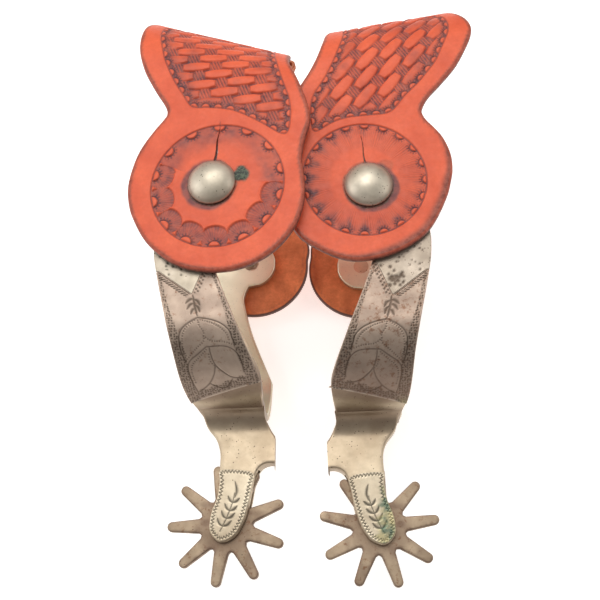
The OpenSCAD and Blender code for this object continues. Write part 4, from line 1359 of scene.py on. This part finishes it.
# ---------------------------------------------------------------- the inner strap, keeper and buckle
# The two sides of the inner strap, laid out flat
BILLET_LEFT = [(-22.5, 84), (-22.7, 72), (-23, 56), (-23, 40), (-23.5, 26)]
BILLET_RIGHT = [(12.5, 34), (3.5, 46), (-2.5, 60), (-3.3, 72), (-3.5, 84)]


def billet_bend(spur, p):
    """The inner strap's flat (U, V, height over its inner face) to the strap's frame."""
    u, v, n = p[:, 0], p[:, 1], p[:, 2]
    bend_v = spur.front_v - FAR_BEND_R
    turn = bend_v + FAR_BEND_R * math.pi / 2
    centre_z = -(BILLET_IN + BILLET_T) + FAR_BEND_R
    theta = np.clip((v - bend_v) / FAR_BEND_R, 0, math.pi / 2)
    r = FAR_BEND_R - BILLET_T + n
    up = np.maximum(v - turn, 0)
    y = np.minimum(v, bend_v) + r * np.sin(theta)
    z = centre_z - r * np.cos(theta) + up
    over = step(BAR_Z - FRAME_LEN - 1, BAR_Z - 2.5, z)
    return np.column_stack([u, y + np.where(v > turn, (BILLET_T + 0.35) * over, 0), z])


def inner_strap(spur):
    """The plain inner strap, which ends in the billet that the buckle holds."""
    round_u = ROUND_U[spur.side]
    round_end = arc(round_u, 0, BILLET_ROUND_R, 152, 380, 2.5)
    shoulder = [(round_u + 24.9, 12.5), (round_u + 22.3, 21)]
    button_hole = arc(0, 0, 4.1, 360, 12, 0.7)
    turn_z = -(BILLET_IN + BILLET_T) + FAR_BEND_R
    turn = spur.front_v - FAR_BEND_R + FAR_BEND_R * math.pi / 2
    tip = turn + BAR_Z + 20.6 - turn_z
    point = [(-3.5, tip - 8), (-7, tip - 2.5), (-13, tip), (-19, tip - 2.5), (-22.5, tip - 8)]
    outline = outline_through(np.vstack([shoulder, BILLET_RIGHT, point, BILLET_LEFT, round_end]), 5, 0.9)
    slot_mid, slot_half, slot_r = turn + BAR_Z - 6 - turn_z, 6.4, 2.0
    slot = anticlockwise(np.vstack([arc(STRAP_MID, slot_mid + slot_half, slot_r, 0, 180, 0.6),
                                    arc(STRAP_MID, slot_mid - slot_half, slot_r, 180, 360, 0.6)]))[::-1]
    hole = arc(STRAP_MID, turn + BAR_Z + 8.5 - turn_z, 1.7, 360, 20, 0.6)
    points, faces = plate(outline, BILLET_T, 1.0, grid(outline, 1.0),
                          [(button_hole, 0.3), (slot, 0.25), (hole, 0.3)], margin=0.3)
    gap = signed_distance(points[:, :2], outline)
    facing = on_top(points, BILLET_T) | (points[:, 2] < TINY)
    line = groove(gap - 2.6, 0.35) * facing
    points[:, 2] += np.where(points[:, 2] > BILLET_T / 2, -1, 1) * 0.25 * line
    edge = np.where(facing, 0.8 * step(1.1, 0.5, gap) + 0.25 * line, 1.0)
    add_piece(spur, "billet_leather", "strap", "inner_strap", LEATHER_BROWN,
              spur.strap(billet_bend(spur, points)), faces, {"edge": np.clip(edge, 0, 1)}, sharp=0)


def keeper(spur):
    """A band of leather round both straps, with rounded edges."""
    inside_w, wall, half, play = STRAP_W + 0.8, 1.5, 2.2, 0.9
    v0 = spur.front_v - WING_T - 2.7
    v1 = spur.front_v + 0.35 + BILLET_T + 0.3
    mid_v, deep = (v0 + v1) / 2, (v1 - v0) / 2 + play
    path = resample(rounded_box(inside_w / 2 + play, -deep, deep, 1.6, 0.5), 0.7)
    d = np.roll(path, -1, axis=0) - np.roll(path, 1, axis=0)
    d /= np.linalg.norm(d, axis=1)[:, None]
    out = np.column_stack([d[:, 1], -d[:, 0]])
    thick = wall / 2
    section = [(thick, h) for h in np.linspace(-half + 0.6, half - 0.6, 7)]
    section += [(thick - 0.2, half - 0.15), (thick - 0.6, half), (-thick + 0.4, half), (-thick, half - 0.4)]
    section += [(-thick, h) for h in (half - 2, -half + 2, -half + 0.4)]
    section += [(-thick + 0.4, -half), (thick - 0.6, -half), (thick - 0.2, -half + 0.15)]
    points = [np.column_stack([path + out * o, np.full(len(path), h)]) for o, h in section]
    faces = bands([*range(len(section)), 0], len(path))
    p = np.vstack(points)
    edge = np.repeat([0.0 if abs(h) < half - 0.7 else 0.35 for _, h in section], len(path))
    placed = spur.strap(np.column_stack([p[:, 0] + STRAP_MID, p[:, 1] + mid_v, p[:, 2] + BAR_Z + 15.4]))
    add_piece(spur, "keeper_loop", "strap", "keeper", LEATHER_BROWN, placed, faces,
              {"edge": edge}, sharp=0)


def buckle(spur):
    """The buckle's frame: a round bar bent to a box, leaning out from its bar."""
    half = STRAP_W / 2 + 4 - BAR_R * 0.2
    length = math.hypot(FRAME_LEN, spur.far_side_v - spur.bar_v)
    path = resample(rounded_box(half, -length, 0, 2.6, 0.4), 0.8)
    lean = (spur.far_side_v - spur.bar_v) / length
    drop = FRAME_LEN / length
    along = -path[:, 1]
    centre = np.column_stack([path[:, 0] + STRAP_MID, spur.bar_v + along * lean, BAR_Z - along * drop])
    points, faces = tube(centre, BAR_R, 20, closed=True)
    add_piece(spur, "buckle_body", "strap", "buckle_frame", NICKEL, spur.strap(points), faces)


def tongue(spur):
    """The buckle's tongue: a tapered pin on a sleeve round the bar."""
    out = spur.far_side_v - spur.bar_v
    lean = math.atan2(out, FRAME_LEN) + math.asin((BAR_R + TONGUE_R + BAR_PLAY) / math.hypot(out, FRAME_LEN))
    sleeve_r = BAR_R + 0.75
    a = np.radians(np.arange(0, 360, 12))
    ring = np.column_stack([np.zeros(len(a)), sleeve_r * np.cos(a), sleeve_r * np.sin(a)])
    sleeve = tube(ring, 0.62, 12, closed=True)
    sleeve[0][:, 0] *= 2.3
    tip = [(1.7, 0.7), (2.0, 0.45), (2.15, 0.12)]
    run = np.concatenate([np.linspace(BAR_R + 0.3, FRAME_LEN + 1.2, 16), [FRAME_LEN + far for far, _ in tip]])
    radius = TONGUE_R * np.concatenate([np.linspace(1, 0.86, 16), [thin for _, thin in tip]])
    direction = np.array([0, math.sin(lean), -math.cos(lean)])
    pin = tube(run[:, None] * direction, radius, 16)
    points, faces = joined(sleeve, pin)
    placed = spur.strap(points + [STRAP_MID, spur.bar_v, BAR_Z])
    add_piece(spur, "tongue_pin", "tongue", "buckle_tongue", NICKEL, placed, faces)


def rivets(spur):
    """The two rivets that hold the wing's fold, each with a domed head inside."""
    inner, outer = -WING_T - 2.4, -0.05
    head = [(0, inner - 1.0), (1.6, inner - 0.92), (2.6, inner - 0.55), (3.0, inner - 0.1), (2.8, inner),
            (1.5, inner), (1.5, outer - 0.4), (1.3, outer), (0, outer)]
    points, faces = lathe(head, 32)
    points, faces = joined(*[(points[:, [0, 2, 1]] + [STRAP_MID + side, spur.front_v, BAR_Z + 10], faces)
                             for side in (-5.5, 5.5)])
    add_piece(spur, "copper_rivets", "strap", "strap_rivets", NICKEL, spur.strap(points), faces)


for spur in (Spur("left"), Spur("right")):
    heel_band(spur)
    band_overlay(spur)
    tab_plate(spur)
    shank(spur)
    cheek_overlay(spur)
    rowel(spur)
    rowel_pin(spur)
    outer_z, inner_z = WING_IN + WING_T + GAP, -(BILLET_IN + BILLET_T + GAP)
    button(spur, "outer_dome", "outer_button", outer_z, OUTER_DOME_H, 1)
    button(spur, "inner_dome", "inner_button", inner_z, INNER_DOME_H, -1)
    wing_strap(spur)
    inner_strap(spur)
    keeper(spur)
    buckle(spur)
    tongue(spur)
    rivets(spur)
    for post in ("outer_post", "inner_post"):
        node = frame["nodes"][f"{spur.side}_{post}"]
        node.data.materials.clear()
        node.data.materials.append(NICKEL)

bpy.context.view_layer.update()
